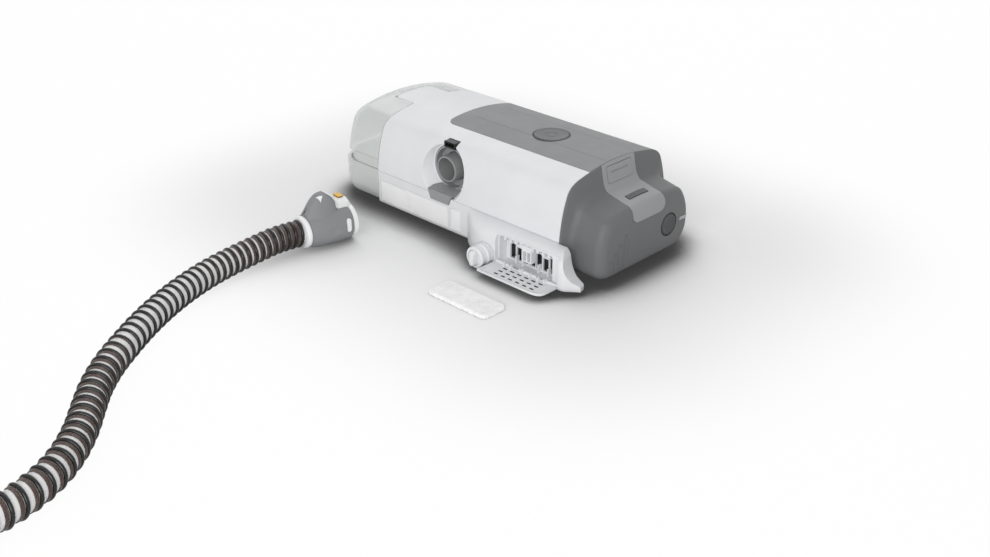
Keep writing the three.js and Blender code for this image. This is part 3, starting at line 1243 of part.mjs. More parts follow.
// The coil: a flat spiral that curls inwards at its end, in steps of a 24th of a turn
function coilPlaces() {
  const wanted = HOSE_LENGTH - hoseCurve().getLength() - 2 * HOSE_R;
  const centre = new THREE.Vector3(COIL_START.x - COIL_R, COIL_START.y - 2 * HOSE_R, HOSE_R);
  const spiral = (turn, turns) => {
    const curl = Math.max(0, 1 - (turns - turn) / COIL_CURL_TURNS);
    const radius = COIL_R - COIL_PITCH * turn - COIL_CURL_IN * curl * curl;
    const angle = -turn * Math.PI * 2;
    return new THREE.Vector3(radius * Math.cos(angle), radius * Math.sin(angle), 0).add(centre);
  };
  const route = (turns) => {
    const points = [COIL_START.clone()];
    for (let i = 0; i <= turns * 24; i += 1) {
      points.push(spiral(i / 24, turns));
    }
    const last = points[points.length - 1];
    const heading = last.clone().sub(spiral(Math.floor(turns * 24) / 24 - 0.02, turns)).normalize();
    points.push(last.clone().addScaledVector(heading, 2 * HOSE_R));
    return points;
  };
  const lengthOf = (points) => points.slice(1).reduce((sum, point, i) => sum + point.distanceTo(points[i]), 0);
  let turns = 1;
  while (lengthOf(route(turns)) < wanted) {
    turns += 1 / 24;
  }
  const points = route(turns);
  return points.map((point, i) => {
    const before = points[Math.max(0, i - 1)];
    const after = points[Math.min(points.length - 1, i + 1)];
    return { point, along: after.clone().sub(before).normalize() };
  });
}

function hoseCoil() {
  const places = coilPlaces();
  const rings = routeRings(places, places.map(() => HOSE_R), 6);
  let least = Infinity;
  places.forEach((a, i) => places.slice(i + 6).forEach((b) => {
    least = Math.min(least, a.point.distanceTo(b.point) - 2 * HOSE_R);
  }));
  const turns = ((places.length - 3) / 24).toFixed(2);
  console.log(`hose coil: ${turns} turns, least gap to itself ${least.toFixed(2)} mm`);
  return loft(rings);
}

// Machine-end cuff: white body and front ring, soft grey grip with a hump, contacts in the hump's slot.
// It is drawn along Y from its rear end and then turned by CUFF_YAW about that end.
const GRIP_L = 41;
const GRIP_INSIDE = [[3, 10.4], [26, 13.3], [GRIP_L + 2, 13.3]];
const HUMP = [
  [4.5, 4, 15.5, 9], [8, 4.6, 20.2, 10], [12, 5.2, 24.8, 11.2], [16.5, 5.8, 28, 12], [21, 6, 28.9, 12.3],
  [26, 6, 27.8, 11.4], [31, 6, 21.5, 10],
];
const HUMP_FRONT = [[21.5, 32], [22.2, 29.3], [24.5, 27.2], [27.2, 24.2], [29.2, 20.5], [29.5, 17], [29.5, 9]];

function aimed(solid) {
  return solid.translate([-CUFF_X, -CUFF_REAR_Y, 0]).rotate([0, 0, -CUFF_YAW])
    .translate([CUFF_X, CUFF_REAR_Y, 0]);
}

function cuffRings(stations, cornerShare) {
  return stations.map(([run, halfW, halfH = halfW]) => {
    const corner = Math.min(halfW, halfH) * cornerShare;
    return ringY(roundedLoop(CUFF_X - halfW, CUFF_X + halfW, CUFF_Z - halfH, CUFF_Z + halfH,
      [corner, corner, corner, corner], 5), CUFF_REAR_Y + run);
  });
}

// The hump's form, and the region in front of its opening
function humpForm(grow) {
  return loft(HUMP.map(([run, halfW, top, footW]) => {
    const reach = halfW + grow;
    const lowZ = CUFF_Z + 9;
    const topZ = CUFF_Z + top + grow;
    const loop = roundedLoop(CUFF_X - reach, CUFF_X + reach, lowZ, topZ, [1, 1, 4, 4]);
    const splay = (footW - halfW) / reach;
    const splayed = loop.map(([x, z]) => (
      [CUFF_X + (x - CUFF_X) * (1 + splay * ((topZ - z) / (topZ - lowZ))), z]
    ));
    return ringY(splayed, CUFF_REAR_Y + run);
  }));
}

function aheadOfHump(shift, halfW, lift = 0) {
  const edge = HUMP_FRONT.map(([run, top]) => [CUFF_REAR_Y + run + shift, CUFF_Z + top]);
  const endY = CUFF_REAR_Y + GRIP_L + 9;
  const across = (half) => (
    prismX([...edge, [endY, CUFF_Z + 9], [endY, CUFF_Z + 32]], CUFF_X - half, CUFF_X + half)
  );
  const aboveGrip = box(CUFF_X - 20, CUFF_X + 20, CUFF_REAR_Y, endY, CUFF_Z + 15.4 + lift, CUFF_Z + 32);
  return across(halfW).add(across(14).intersect(aboveGrip));
}

function cuffBody() {
  const sleeve = GRIP_INSIDE.map(([run, radius]) => [Math.max(4, Math.min(run, GRIP_L + GAP)), radius - GAP]);
  const stations = [
    [0, 12.6], [4, 13], ...sleeve, [GRIP_L + GAP, 14.9, 14.1], [CUFF_L - 1.5, 15.1, 14.3], [CUFF_L, 14.2, 13.4],
  ];
  const rim = humpForm(0.1).intersect(aheadOfHump(0.4, 6.6, 0.4)).subtract(aheadOfHump(1.7, 14));
  const blockY = CUFF_REAR_Y + 30.4;
  const block = prismX([
    [blockY, CUFF_Z + 10], [CUFF_REAR_Y + 44.5, CUFF_Z + 10], [CUFF_REAR_Y + 44.5, CUFF_Z + 15.2],
    [CUFF_REAR_Y + 40.5, CUFF_Z + 21.6], [blockY, CUFF_Z + 21.6],
  ], CUFF_X - 5.2, CUFF_X + 5.2);
  const flange = box(CUFF_X - 6.6, CUFF_X + 6.6, CUFF_REAR_Y + 29.9, CUFF_REAR_Y + 42,
    CUFF_Z + 10, CUFF_Z + 17.4);
  const solid = loft(cuffRings(stations, 0.99)).add(flange).add(block).add(rim)
    .subtract(rodY(CUFF_X, CUFF_Z, CUFF_REAR_Y + CUFF_L - 14, CUFF_REAR_Y + CUFF_L + 1, OUTLET_R + 0.3, 24))
    .subtract(rodY(CUFF_X, CUFF_Z, CUFF_REAR_Y - 1, CUFF_REAR_Y + CUFF_L, HOSE_BORE_R, 20));
  return aimed(solid);
}

function cuffGrip() {
  const outside = [[4 + GAP, 13], [10, 14.3, 14.2], [20, 15.6, 15.1], [34, 16, 15.2], [GRIP_L, 15.5, 14.6]];
  const solid = loft(cuffRings(outside, 0.92)).add(humpForm(0))
    .subtract(aheadOfHump(0, 7))
    .subtract(loft(cuffRings(GRIP_INSIDE, 0.99)));
  return aimed(solid);
}

function cuffContacts() {
  return aimed(box(CUFF_X - 4, CUFF_X + 4, CUFF_REAR_Y + 34.3, CUFF_REAR_Y + 39,
    CUFF_Z + 21.6 + GAP, CUFF_Z + 22.8));
}

function maskCuff() {
  const places = coilPlaces();
  const { point, along } = places[places.length - 1];
  const start = point.clone().addScaledVector(along, GAP);
  const profile = [
    [HOSE_BORE_R, 0], [MASK_CUFF_R - 1.4, 0], [MASK_CUFF_R, 3], [MASK_CUFF_R, 8], [MASK_CUFF_R - 1.2, 10],
    [MASK_CUFF_R - 1.2, MASK_CUFF_L - 3], [MASK_CUFF_R - 0.4, MASK_CUFF_L], [OUTLET_R - 0.9, MASK_CUFF_L],
    [OUTLET_R - 0.9, MASK_CUFF_L - 18], [HOSE_BORE_R, MASK_CUFF_L - 20], [HOSE_BORE_R, 0],
  ];
  const geometry = new THREE.LatheGeometry(profile.map(([r, d]) => new THREE.Vector2(r, d)), 20);
  const turn = new THREE.Quaternion().setFromUnitVectors(new THREE.Vector3(0, 1, 0), along);
  geometry.applyQuaternion(turn);
  geometry.translate(start.x, start.y, MASK_CUFF_R);
  return toSolid(geometry);
}

// Materials
const plastic = (color, roughness = 0.45) => new THREE.MeshStandardMaterial({ color, roughness, metalness: 0 });
const metal = (color, roughness = 0.35) => new THREE.MeshStandardMaterial({ color, roughness, metalness: 0.9 });
const clear = () => new THREE.MeshStandardMaterial({
  color: 0xcfd4d2, roughness: 0.12, metalness: 0, transparent: true, opacity: 0.45,
});
const WHITE = 0xdedfe0;
const PANEL_GREY = 0x8e8f91;
const PACK_GREY = 0x6b6c6c;
const INLAY_GREY = 0x959697;
const OUTLET_GREY = 0x7d7e7e;

const NODES = [
  ['top_shell', topShell, plastic(WHITE)],
  ['bottom_shell', bottomShell, plastic(0xd9dadb)],
  ['top_panel', topPanel, plastic(PANEL_GREY)],
  ['start_button', startButton, plastic(0x77787a)],
  ['start_switch', startSwitch, plastic(0x202224)],
  ['display_window', displayWindow, plastic(0x101214, 0.08)],
  ['display_module', displayModule, plastic(0x25282b)],
  ['menu_button_left', () => menuButton(menuButtonXs()[0]), plastic(0x77787a)],
  ['menu_button_middle', () => menuButton(menuButtonXs()[1]), plastic(0x77787a)],
  ['menu_button_right', () => menuButton(menuButtonXs()[2]), plastic(0x77787a)],
  ['front_board', frontBoard, plastic(0x2f6b3c)],
  ['outlet_bezel', outletBezel, plastic(OUTLET_GREY)],
  ['outlet_spigot', outletSpigot, plastic(OUTLET_GREY)],
  ['contact_socket', contactSocket, plastic(0x141516)],
  ['socket_contacts', socketContacts, metal(0xc9a13b)],
  ['return_duct', returnDuct, plastic(0xc8cacb)],
  ['supply_duct', supplyDuct, plastic(0xc8cacb)],
  ['dock_seals', dockSeals, plastic(0x9aa0a2, 0.7)],
  ['blower_housing', blowerHousing, plastic(0x3c3f42)],
  ['blower_impeller', blowerImpeller, plastic(0xe4e4e0)],
  ['blower_motor', blowerMotor, metal(0x9a9c9e)],
  ['blower_mounts', blowerMounts, plastic(0x2b2c2e, 0.8)],
  ['muffler_foam', muffler, plastic(0x55585a, 0.95)],
  ['main_board', mainBoard, plastic(0x2f6b3c)],
  ['filter_grid', filterGrid, plastic(0xe2e3e3)],
  ['filter_door', filterDoor, plastic(WHITE)],
  ['door_pin', doorPin, metal(0xb8babc)],
  ['filter_pad', filterPad, plastic(0xf2f2f0, 0.95)],
  ['oxygen_port', oxygenPort, plastic(0xd4d5d6)],
  ['oxygen_cap', oxygenCap, plastic(0xd6d7d8, 0.55)],
  ['battery_case', batteryCase, plastic(PACK_GREY)],
  ['battery_sleeve', batterySleeve, plastic(0x4a4b4c)],
  ['battery_inlay', batteryInlay, plastic(INLAY_GREY)],
  ['battery_release_button', releaseButton, plastic(INLAY_GREY)],
  ['charge_window', chargeWindow, plastic(0x4d4e4f, 0.2)],
  ['battery_check_button', checkButton, plastic(0x4b4d4d)],
  ['battery_light', batteryLight, plastic(0xa9aaaa, 0.25)],
  ['battery_cells', batteryCells, plastic(0x3f6f9c, 0.4)],
  ['battery_board', batteryBoard, plastic(0x2f6b3c)],
  ['battery_socket', batterySocket, plastic(0x1c1e20)],
  ['foot_chamber_side', () => footSolid(FOOT_XS[0], 0), plastic(0x3a3b3c, 0.9)],
  ['foot_battery_side', () => footSolid(FOOT_XS[1], 0), plastic(0x3a3b3c, 0.9)],
  ['base_screw_rear', () => baseScrew(BOSSES[0]), metal(0xa8aaac)],
  ['base_screw_front', () => baseScrew(BOSSES[1]), metal(0xa8aaac)],
  ['dc_inlet', dcInlet, plastic(0x1c1e20)],
  ['heater_plate', heaterPlate, metal(0xb9bbbd)],
  ['water_tub', waterTub, clear()],
  ['tub_heat_plate', tubHeatPlate, metal(0xc4c6c8)],
  ['tub_manifold', tubManifold, clear()],
  ['tub_lid', tubLid, clear()],
  ['lid_hinge_pin', lidHingePin, plastic(0xd0d2d2)],
  ['lid_seal', lidSeal, plastic(0xc9cccc, 0.6)],
  ['hose_run', hoseRun, plastic(0x2a2a2b, 0.5)],
  ['hose_coil', hoseCoil, plastic(0x2a2a2b, 0.5)],
  ['hose_cuff_body', cuffBody, plastic(0xf0f1f1)],
  ['hose_cuff_grip', cuffGrip, plastic(0x87888a)],
  ['cuff_contacts', cuffContacts, metal(0xb8912e)],
  ['mask_cuff', maskCuff, plastic(0x87888a)],
];

const ON_THE_HOSE = [
  'hose_run', 'hose_coil', 'hose_cuff_body', 'hose_cuff_grip', 'cuff_contacts', 'mask_cuff',
];

const group = new THREE.Group();
const extent = new THREE.Box3();
for (const [name, make, material] of NODES) {
  const mesh = new THREE.Mesh(toGeometry(make()), material);
  mesh.name = name;
  group.add(mesh);
  if (!ON_THE_HOSE.includes(name)) {
    extent.expandByObject(mesh);
  }
}

// The origin is under the middle of the machine with its pad, on the table
group.position.set(-(extent.min.x + extent.max.x) / 2, -(extent.min.y + extent.max.y) / 2, -extent.min.z);
group.updateMatrixWorld(true);

export default group;
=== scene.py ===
# Looks for the bilevel breathing machine: its casing, water chamber, battery pack,
# open filter bay with the pad laid out, and the ribbed heated hose on the table.
# Shapes are worked out in the CAD source's millimetres, and solid() puts them in the frame.
import json
import math

import bmesh
import bpy
import numpy as np
from mathutils import Matrix, Vector, noise


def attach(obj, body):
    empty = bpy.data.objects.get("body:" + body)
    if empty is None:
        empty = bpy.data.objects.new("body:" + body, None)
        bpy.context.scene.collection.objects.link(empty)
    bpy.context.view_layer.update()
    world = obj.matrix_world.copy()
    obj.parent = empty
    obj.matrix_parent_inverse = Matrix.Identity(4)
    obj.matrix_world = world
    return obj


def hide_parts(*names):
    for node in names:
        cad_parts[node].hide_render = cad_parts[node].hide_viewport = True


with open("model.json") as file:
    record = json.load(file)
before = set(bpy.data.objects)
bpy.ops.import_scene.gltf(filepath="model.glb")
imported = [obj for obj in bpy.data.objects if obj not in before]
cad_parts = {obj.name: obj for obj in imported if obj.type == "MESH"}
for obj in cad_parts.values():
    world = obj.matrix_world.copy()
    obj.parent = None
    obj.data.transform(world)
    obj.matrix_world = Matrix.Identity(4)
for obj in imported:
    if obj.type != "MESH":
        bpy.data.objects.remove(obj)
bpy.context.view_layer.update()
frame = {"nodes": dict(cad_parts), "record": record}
nodes = frame["nodes"]
scene = bpy.context.scene

MM = 0.001
SOURCE_ORIGIN = np.array((93.5, 22.75, 0.0))
X, Y, Z = range(3)

# Camera
LENS = 47.27
CAMERA_PLACE = (777.8, -662.0, 453.2)
CAMERA_TARGET = (137.14, 0.0, -20.8)

# Casing
LENGTH = 203.4
DEPTH = 127.5
HEIGHT = 82.5
PARTING_Z = 32.6
BASE_Z = 3.0
WALL = 2.2
GAP = 0.3
MIDDLE_Y = DEPTH / 2
LEAN_IN = 7.7
LEAN_Z = HEIGHT - 15
SHOULDER_IN = 22.0
SHOULDER_Z = HEIGHT - 4.9
FOOT_XS = (-30.0, 183.4)
DC = (150.0, 19.0, 6.0)
PORT_YS = (54.0, 74.0)
PORT_Z = 60.0
PORT_R = 7.0
LABEL_FIELDS = [((3.2, 84.0, 6.8, 24.8), 1.5), ((87.2, 98.6, 7.2, 25.2), 1.0)]

# Top panel and its button
PANEL_X = 49.3
PANEL_REAR_Y = 33.5
PANEL_CORNER_R = 9.0
PANEL_FRONT_Z = 44.0
PANEL_T = 2.0
PANEL_CREASES = (54.7, 90.0)
START = (134.9, 66.9)
START_R = 14.3
START_PROUD = 0.6
START_LOW_Z = 81.15
START_STEM = (71.4, 81.4)
STEM_R = 3.0
KEY_GAP = 0.95
DISPLAY = (96.0, 152.0, 48.0, 66.0)
MENU_XS = (164.0, 176.0, 188.0)
MENU_Z = 57.0
MENU_R = 4.2

# Air outlet
OUTLET_X = 76.3
OUTLET_Z = 53.5
OUTLET = (OUTLET_X, OUTLET_Z)
OUTLET_R = 11.0
CUP_R = 18.5
CUP_RIM_Y = 11.4
CUP_FLOOR_Y = 18.5
CUP_BACK_Y = 20.5
OUTLET_BORE_R = 9.2
OUTLET_TIP_Y = 6.4
CHUTE_LOW_Z = 27.0
CHUTE_BEND_Z = 35.3
CHUTE_IN_Z = 37.5
DISH_R = 24.5
DISH_FOOT_R = 19.2
DISH_FOOT_Y = 12.0
SOCKET = (70.3, 82.8, 70.5, 75.8)
SOCKET_FACE_Y = 10.5
SOCKET_BACK_Y = 20.5

# Filter bay, its door and pad, oxygen port
BAY_MODULE_X = 110.0
BAY_OUT = 16.2
EAR_X = 216.6
EAR_TIP_X = 229.0
EAR_LEAN = 0.3
FLANGE_END_X = 221.5
BAY = (153.4, 208.0, 5.0, 27.2)
DOOR_X = (153.0, 216.0)
DOOR_L = 23.0
DOOR_T = 2.2
BARREL_R = 1.9
DOOR_HINGE = (-14.6, 5.6)
PIN_HOLE_R = 1.1
DOOR_ROW_PITCH = 5.1
DOOR_SLOT_PITCH = 7.3
PAD = (144.5, -82.0, 61.0, 25.0, 3.2)
OXYGEN = (142.6, 9.8)
OXYGEN_R = 8.9
OXYGEN_BORE_R = 3.6
OXYGEN_CAP_Y = (-32.7, -18.9)

# Battery pack: cap stations are the run from the casing, the share of the side's draw, the drop
PACK_X = LENGTH + GAP
PACK_END_X = 237.0
PACK_END_R = 8.0
PACK_FLOOR_Z = 6.0
PACK_SIDE_IN = 9.0
PACK_SHELF_Z = 62.0
PACK_SHELF_FALL = 4.0
PACK_FAR_MORE = 9.0
PACK_STATIONS = [
    (0, 0, 0), (0.6, 0.03, 0.3), (2.3, 0.4, 8), (4.3, 0.78, 15.5), (7.3, 0.95, 19.6), (9.5, 1, 20.5),
]
PACK_BARS = [(20.0, 20.0), (25.5, 25.0), (31.0, 31.0), (37.0, 37.0)]
INLAY = (45.4, 84.0, 43.7)
RELEASE = (50.4, 78.8, 66.8, 79.4)
WINDOW = (222.2, 226.8, 53.0, 75.5)
CHECK = (90.7, 28.8)
CHECK_R = 8.7
LIGHT = (104.5, 115.0, 27.6, 30.4)

# Water chamber
TUB_END_X = -50.5
TUB_CORNER_R = 18.0
TUB_LOW_Z = 5.6
TUB_RIM_Z = 33.0
TUB_WALL = 2.6
LID_END_X = -47.5
LID_WALL = 2.2
LID_LOW_Z = 41.5
LID_SIDE_R = 16.0
LID_TOP_RUN = 22.0
LID_TOP_FALL = 10.0
TONGUE = (-24.0, 43.8, 83.8)
TONGUE_T = 3.2
HINGE = (-45.3, 37.3)
HINGE_R = 2.6
HINGE_PIN_R = 1.3
DOCK_X = -0.5

# Hose and cuff
HOSE_R = 11.1
FILM_R = 9.8
HOSE_BORE_R = 7.9
HOSE_LENGTH = 1800.0
RIB_PITCH_NEAR = 5.8
RIB_PITCH_FAR = 9.5
RIB_SPREAD = 240.0
RIB_R = 1.45
WIRE_NEAR = 130.0
WIRE_FAR = (195.0, 40.0)
WIRE_LEAD = 2.2
WIRE_PITCH = 0.95
COIL_R = 148.0
COIL_PITCH = 23.4
COIL_CURL_TURNS = 0.6
COIL_CURL_IN = 28.0
CUFF_X = 20.6
CUFF_Z = 15.5
CUFF_REAR_Y = -100.8
CUFF_L = 46.0
CUFF_YAW = math.radians(7.2)
GRIP_L = 41.0
HUMP_EDGE_R = 4.6
GRIP_INSIDE = [(3, 10.4), (26, 13.3), (GRIP_L + 2, 13.3)]
HUMP = [
    (4.5, 4, 15.5, 9), (8, 4.6, 20.2, 10), (12, 5.2, 24.8, 11.2), (16.5, 5.8, 28, 12), (21, 6, 28.9, 12.3),
    (26, 6, 27.8, 11.4), (31, 6, 21.5, 10),
]
HUMP_FRONT = [(21.5, 32), (22.2, 29.3), (24.5, 27.2), (27.2, 24.2), (29.2, 20.5), (29.5, 17), (29.5, 9)]
CUFF_WINDOW = (34.0, 38.2, -4.2, 7.4)
HOSE_ROUTE = [
    (CUFF_X, CUFF_REAR_Y - GAP, CUFF_Z), (CUFF_X - 2.8, CUFF_REAR_Y - 22.5, CUFF_Z), (17, -141, 14),
    (17.2, -163, 12.3), (20.9, -187.5, 11.6), (28.3, -213, 11.2),
] + [
    (x, y, HOSE_R) for x, y in (
        (39.4, -239.3), (53.2, -264.8), (68.6, -288.7), (84.9, -311.4), (103, -331.5), (121, -347.5),
        (139, -363), (156, -381), (169, -400.5), (177, -421), (181, -443), (182, -466), (182, -497),
        (182, -532),
    )
]


# Places
def placed(points):
    """Points of the CAD source, in millimetres, as metres in the frame."""
    return (np.asarray(points, float) - SOURCE_ORIGIN) * MM


# Camera at the photograph's angle
def aim(obj, place, target):
    obj.location = place
    obj.rotation_mode = "QUATERNION"
    obj.rotation_quaternion = (Vector(target) - Vector(place)).to_track_quat("-Z", "Y")
    scene.collection.objects.link(obj)


def add_camera():
    data = bpy.data.cameras.new("camera")
    data.lens = LENS
    data.clip_start = 0.02
    data.clip_end = 50.0
    scene.camera = bpy.data.objects.new("camera", data)
    aim(scene.camera, placed(CAMERA_PLACE), placed(CAMERA_TARGET))


add_camera()


# Materials
def srgb(code):
    parts = [int(code[i:i + 2], 16) / 255 for i in (1, 3, 5)]
    return [c / 12.92 if c <= 0.04045 else ((c + 0.055) / 1.055) ** 2.4 for c in parts]


def shade(code, share):
    return [min(1.0, c * share) for c in srgb(code)] + [1.0]


def add_node(tree, kind, sources=None, **values):
    """A shader node with some inputs set by name, and some linked to sources by name or number."""
    node = tree.nodes.new("ShaderNode" + kind)
    for name, value in values.items():
        node.inputs[name.replace("_", " ")].default_value = value
    for name, source in (sources or {}).items():
        tree.links.new(source, node.inputs[name])
    return node


class Surface:
    """A principled material whose colour, roughness and bump come from noise."""

    def __init__(self, name):
        self.material = bpy.data.materials.new(name)
        self.material.use_nodes = True
        self.tree = self.material.node_tree
        self.shader = self.tree.nodes["Principled BSDF"]
        self.coords = add_node(self.tree, "TexCoord").outputs["Object"]
        self.normal = None

    def drive(self, name, source):
        self.tree.links.new(source, self.shader.inputs[name])

    def noise(self, scale, detail=3.0, stretch=None):
        source = self.coords
        if stretch:
            source = add_node(self.tree, "Mapping", {"Vector": source}, Scale=stretch).outputs["Vector"]
        return add_node(self.tree, "TexNoise", {"Vector": source}, Scale=scale, Detail=detail).outputs["Fac"]

    def ramp(self, source, stops):
        node = add_node(self.tree, "ValToRGB", {"Fac": source})
        elements = node.color_ramp.elements
        while len(elements) < len(stops):
            elements.new(0.5)
        for element, (place, colour) in zip(elements, stops):
            element.position = place
            element.color = colour
        return node.outputs["Color"]

    def colour(self, source, places, colours):
        self.drive("Base Color", self.ramp(source, list(zip(places, colours))))

    def roughness(self, source, low, high):
        span = {"From_Min": 0.3, "From_Max": 0.7, "To_Min": low, "To_Max": high}
        node = add_node(self.tree, "MapRange", {"Value": source}, **span)
        self.drive("Roughness", node.outputs["Result"])

    def bend_normal(self, node):
        self.normal = node.outputs["Normal"]
        self.drive("Normal", self.normal)

    def round_edges(self, radius):
        node = add_node(self.tree, "Bevel", Radius=radius)
        node.samples = 4
        self.bend_normal(node)

    def bump(self, source, strength, distance):
        sources = {"Height": source}
        if self.normal:
            sources["Normal"] = self.normal
        self.bend_normal(add_node(self.tree, "Bump", sources, Strength=strength, Distance=distance))

    def set(self, **values):
        for name, value in values.items():
            self.shader.inputs[name.replace("_", " ")].default_value = value


def plastic(name, code, rough=0.42, grain=900.0, grain_depth=0.00004, edge=0.0004, mottle=0.02, gloss=0.25):
    """Moulded plastic: a fine grain, a slight cloudiness, and softly rounded edges."""
    made = Surface(name)
    made.colour(made.noise(28.0), (0.35, 0.65), (shade(code, 1 - mottle), shade(code, 1 + mottle)))
    made.roughness(made.noise(60.0), rough - 0.04, rough + 0.05)
    if edge:
        made.round_edges(edge)
    made.bump(made.noise(grain, 4.0), 0.35, grain_depth)
    made.set(Specular_IOR_Level=gloss)
    return made


def metal(name, code, rough=0.3, brush=(1, 60, 1)):
    """Metal with fine brush marks."""
    made = Surface(name)
    streak = made.noise(180.0, 3.0, brush)
    made.colour(streak, (0.3, 0.7), (shade(code, 0.9), shade(code, 1.08)))
    made.roughness(streak, rough - 0.08, rough + 0.1)
    made.round_edges(0.0002)
    made.bump(streak, 0.15, 0.00005)
    made.set(Metallic=1.0)
    return made


def clear_plastic(name, code, alpha, rough, frost=0.00003):
    """See-through plastic with a slight frost and a glossy coat."""
    made = Surface(name)
    made.colour(made.noise(20.0), (0.3, 0.7), (shade(code, 0.97), shade(code, 1.03)))
    made.roughness(made.noise(45.0), rough - 0.04, rough + 0.06)
    made.bump(made.noise(700.0), 0.25, frost)
    made.set(Alpha=alpha, IOR=1.49, Coat_Weight=0.3, Coat_Roughness=0.08)
    return made


def fibre(name, code):
    """Pressed fibre: a matted, fluffy surface with soft clouds of thicker and thinner places."""
    made = Surface(name)
    mat = made.noise(900.0, 6.0, (1.0, 2.4, 1.0))
    made.colour(made.noise(160.0, 5.0), (0.3, 0.6), (shade(code, 0.9), shade(code, 1.0)))
    made.roughness(mat, 0.85, 1.0)
    made.bump(made.noise(220.0, 6.0), 0.5, 0.0006)
    made.bump(mat, 0.5, 0.0003)
    made.set(Sheen_Weight=0.3, Specular_IOR_Level=0.15)
    return made


MATERIALS = {
    "casing_white": plastic("moulded_white", "#e6e7e9", 0.40, gloss=0.3),
    "panel_grey": plastic("moulded_panel_grey", "#88898b", 0.5),
    "button_grey": plastic("moulded_button_grey", "#606264"),
    "outlet_grey": plastic("moulded_outlet_grey", "#8c8e8e"),
    "pack_grey": plastic("moulded_pack_grey", "#6e6f70", 0.5, grain_depth=0.00006),
    "inlay_grey": plastic("moulded_inlay_grey", "#9a9b9c", 0.44),
    "light_lens": clear_plastic("light_lens", "#b4b5b5", 0.9, 0.15),
    "slot_shade": plastic("slot_shade", "#2a2b2c", 0.6, edge=0.0),
    "check_grey": plastic("moulded_check_grey", "#4d4f50"),
    "cup_grey": plastic("moulded_cup_grey", "#9a9c9d"),
    "gauge_lens": plastic("gauge_lens", "#3a3c3d", 0.3, grain_depth=0.00001),
    "dark_plastic": plastic("moulded_black", "#1b1c1d", 0.38),
    # Darker copy of the gold for the contacts inside the power socket: painted shade.
    "dark_contact": metal("shaded_contact", "#4a4030", 0.4, (60, 1, 1)),
    "contact_gold": metal("gold_plate", "#ab8628", 0.32, (60, 1, 1)),
    "chamber_clear": clear_plastic("chamber_clear", "#e4e8e6", 0.64, 0.14),
    "seal_silicone": plastic("silicone", "#e0e4e3", 0.5, grain=400.0),
    "foot_rubber": plastic("rubber", "#333435", 0.75, grain=500.0, grain_depth=0.0001),
    "steel": metal("steel", "#b4b6b8"),
    "heat_plate": metal("heat_plate", "#b9bbbd", 0.34, (1, 40, 1)),
    "board_green": plastic("solder_mask", "#24613a", 0.32, grain=260.0),
    "foam_grey": plastic("open_foam", "#56595c", 0.9, grain=260.0, grain_depth=0.0006, edge=0.0),
    "display_black": plastic("display_glass", "#0c0d0f", 0.12, grain_depth=0.00001),
    "cell_wrap": plastic("shrink_film", "#3f6f9c", 0.3, grain=300.0),
    "duct_white": plastic("moulded_duct", "#c9cbcc"),
    "filter_fibre": fibre("filter_fibre", "#fdfdfd"),
    "label_white": plastic("label_film", "#f6f6f7", 0.3, grain=300.0, grain_depth=0.00002, edge=0.0002),
    "cuff_white": plastic("moulded_cuff_white", "#f4f5f5", 0.34),
    "cuff_grey": plastic("soft_cuff_grey", "#8c8e90", 0.55, grain=600.0, grain_depth=0.00007),
}


def dress(obj, look):
    obj.data.materials.clear()
    obj.data.materials.append(MATERIALS[look].material)


# Solids
def solid(name, points, faces):
    """A closed mesh from points in the CAD source's millimetres, with its faces outward."""
    mesh = bpy.data.meshes.new(name)
    mesh.from_pydata(placed(points).tolist(), [], faces)
    tidy = bmesh.new()
    tidy.from_mesh(mesh)
    bmesh.ops.remove_doubles(tidy, verts=tidy.verts, dist=1e-7)
    bmesh.ops.recalc_face_normals(tidy, faces=tidy.faces)
    if tidy.calc_volume(signed=True) < 0:
        bmesh.ops.reverse_faces(tidy, faces=tidy.faces)
    tidy.to_mesh(mesh)
    tidy.free()
    obj = bpy.data.objects.new(name, mesh)
    scene.collection.objects.link(obj)
    return obj


def strips(low, high):
    """Four-sided faces between two rings, or between rows of rings."""
    return np.stack([low, np.roll(low, -1, 1), np.roll(high, -1, 1), high], -1).reshape(-1, 4).tolist()


def loft(rings, name="solid"):
    """A closed body through rings that have the same number of points."""
    rings = np.asarray(rings, float)
    grid = np.arange(rings.shape[0] * rings.shape[1]).reshape(rings.shape[:2])
    faces = strips(grid[:-1], grid[1:]) + [grid[0].tolist(), grid[-1].tolist()]
    return solid(name, rings.reshape(-1, 3), faces)


def tube_of(rings, name="solid"):
    """A body whose rings go round and join up again."""
    rings = np.asarray(rings, float)
    grid = np.arange(rings.shape[0] * rings.shape[1]).reshape(rings.shape[:2])
    return solid(name, rings.reshape(-1, 3), strips(grid, np.roll(grid, -1, 0)))


def ring(axis, loop, place):
    """A flat loop set at a place on the axis that it stands square to."""
    return np.insert(np.asarray(loop, float), axis, place, axis=1)


def circle(radius, sides=64, centre=(0.0, 0.0)):
    turn = np.linspace(0, 2 * math.pi, sides, endpoint=False)
    return np.stack([centre[0] + radius * np.cos(turn), centre[1] + radius * np.sin(turn)], 1)


def prism(axis, outline, start, end):
    return loft([ring(axis, outline, start), ring(axis, outline, end)])


def leaning_prism(outline, y0, y1, lean):
    """A prism of an outline in X and Z that moves by lean in X for each unit of -Y."""
    return loft([[(x - lean * y, y, z) for x, z in outline] for y in (y0, y1)])


def box(x0, x1, y0, y1, z0, z1):
    return prism(Z, [(x0, y0), (x1, y0), (x1, y1), (x0, y1)], z0, z1)


def rod(axis, centre, start, end, radius, sides=64):
    return prism(axis, circle(radius, sides, centre), start, end)


def spun(axis, centre, profile, sides=96):
    """A solid body of round sections along an axis, from their radii and places."""
    return loft([ring(axis, circle(radius, sides, centre), place) for radius, place in profile])


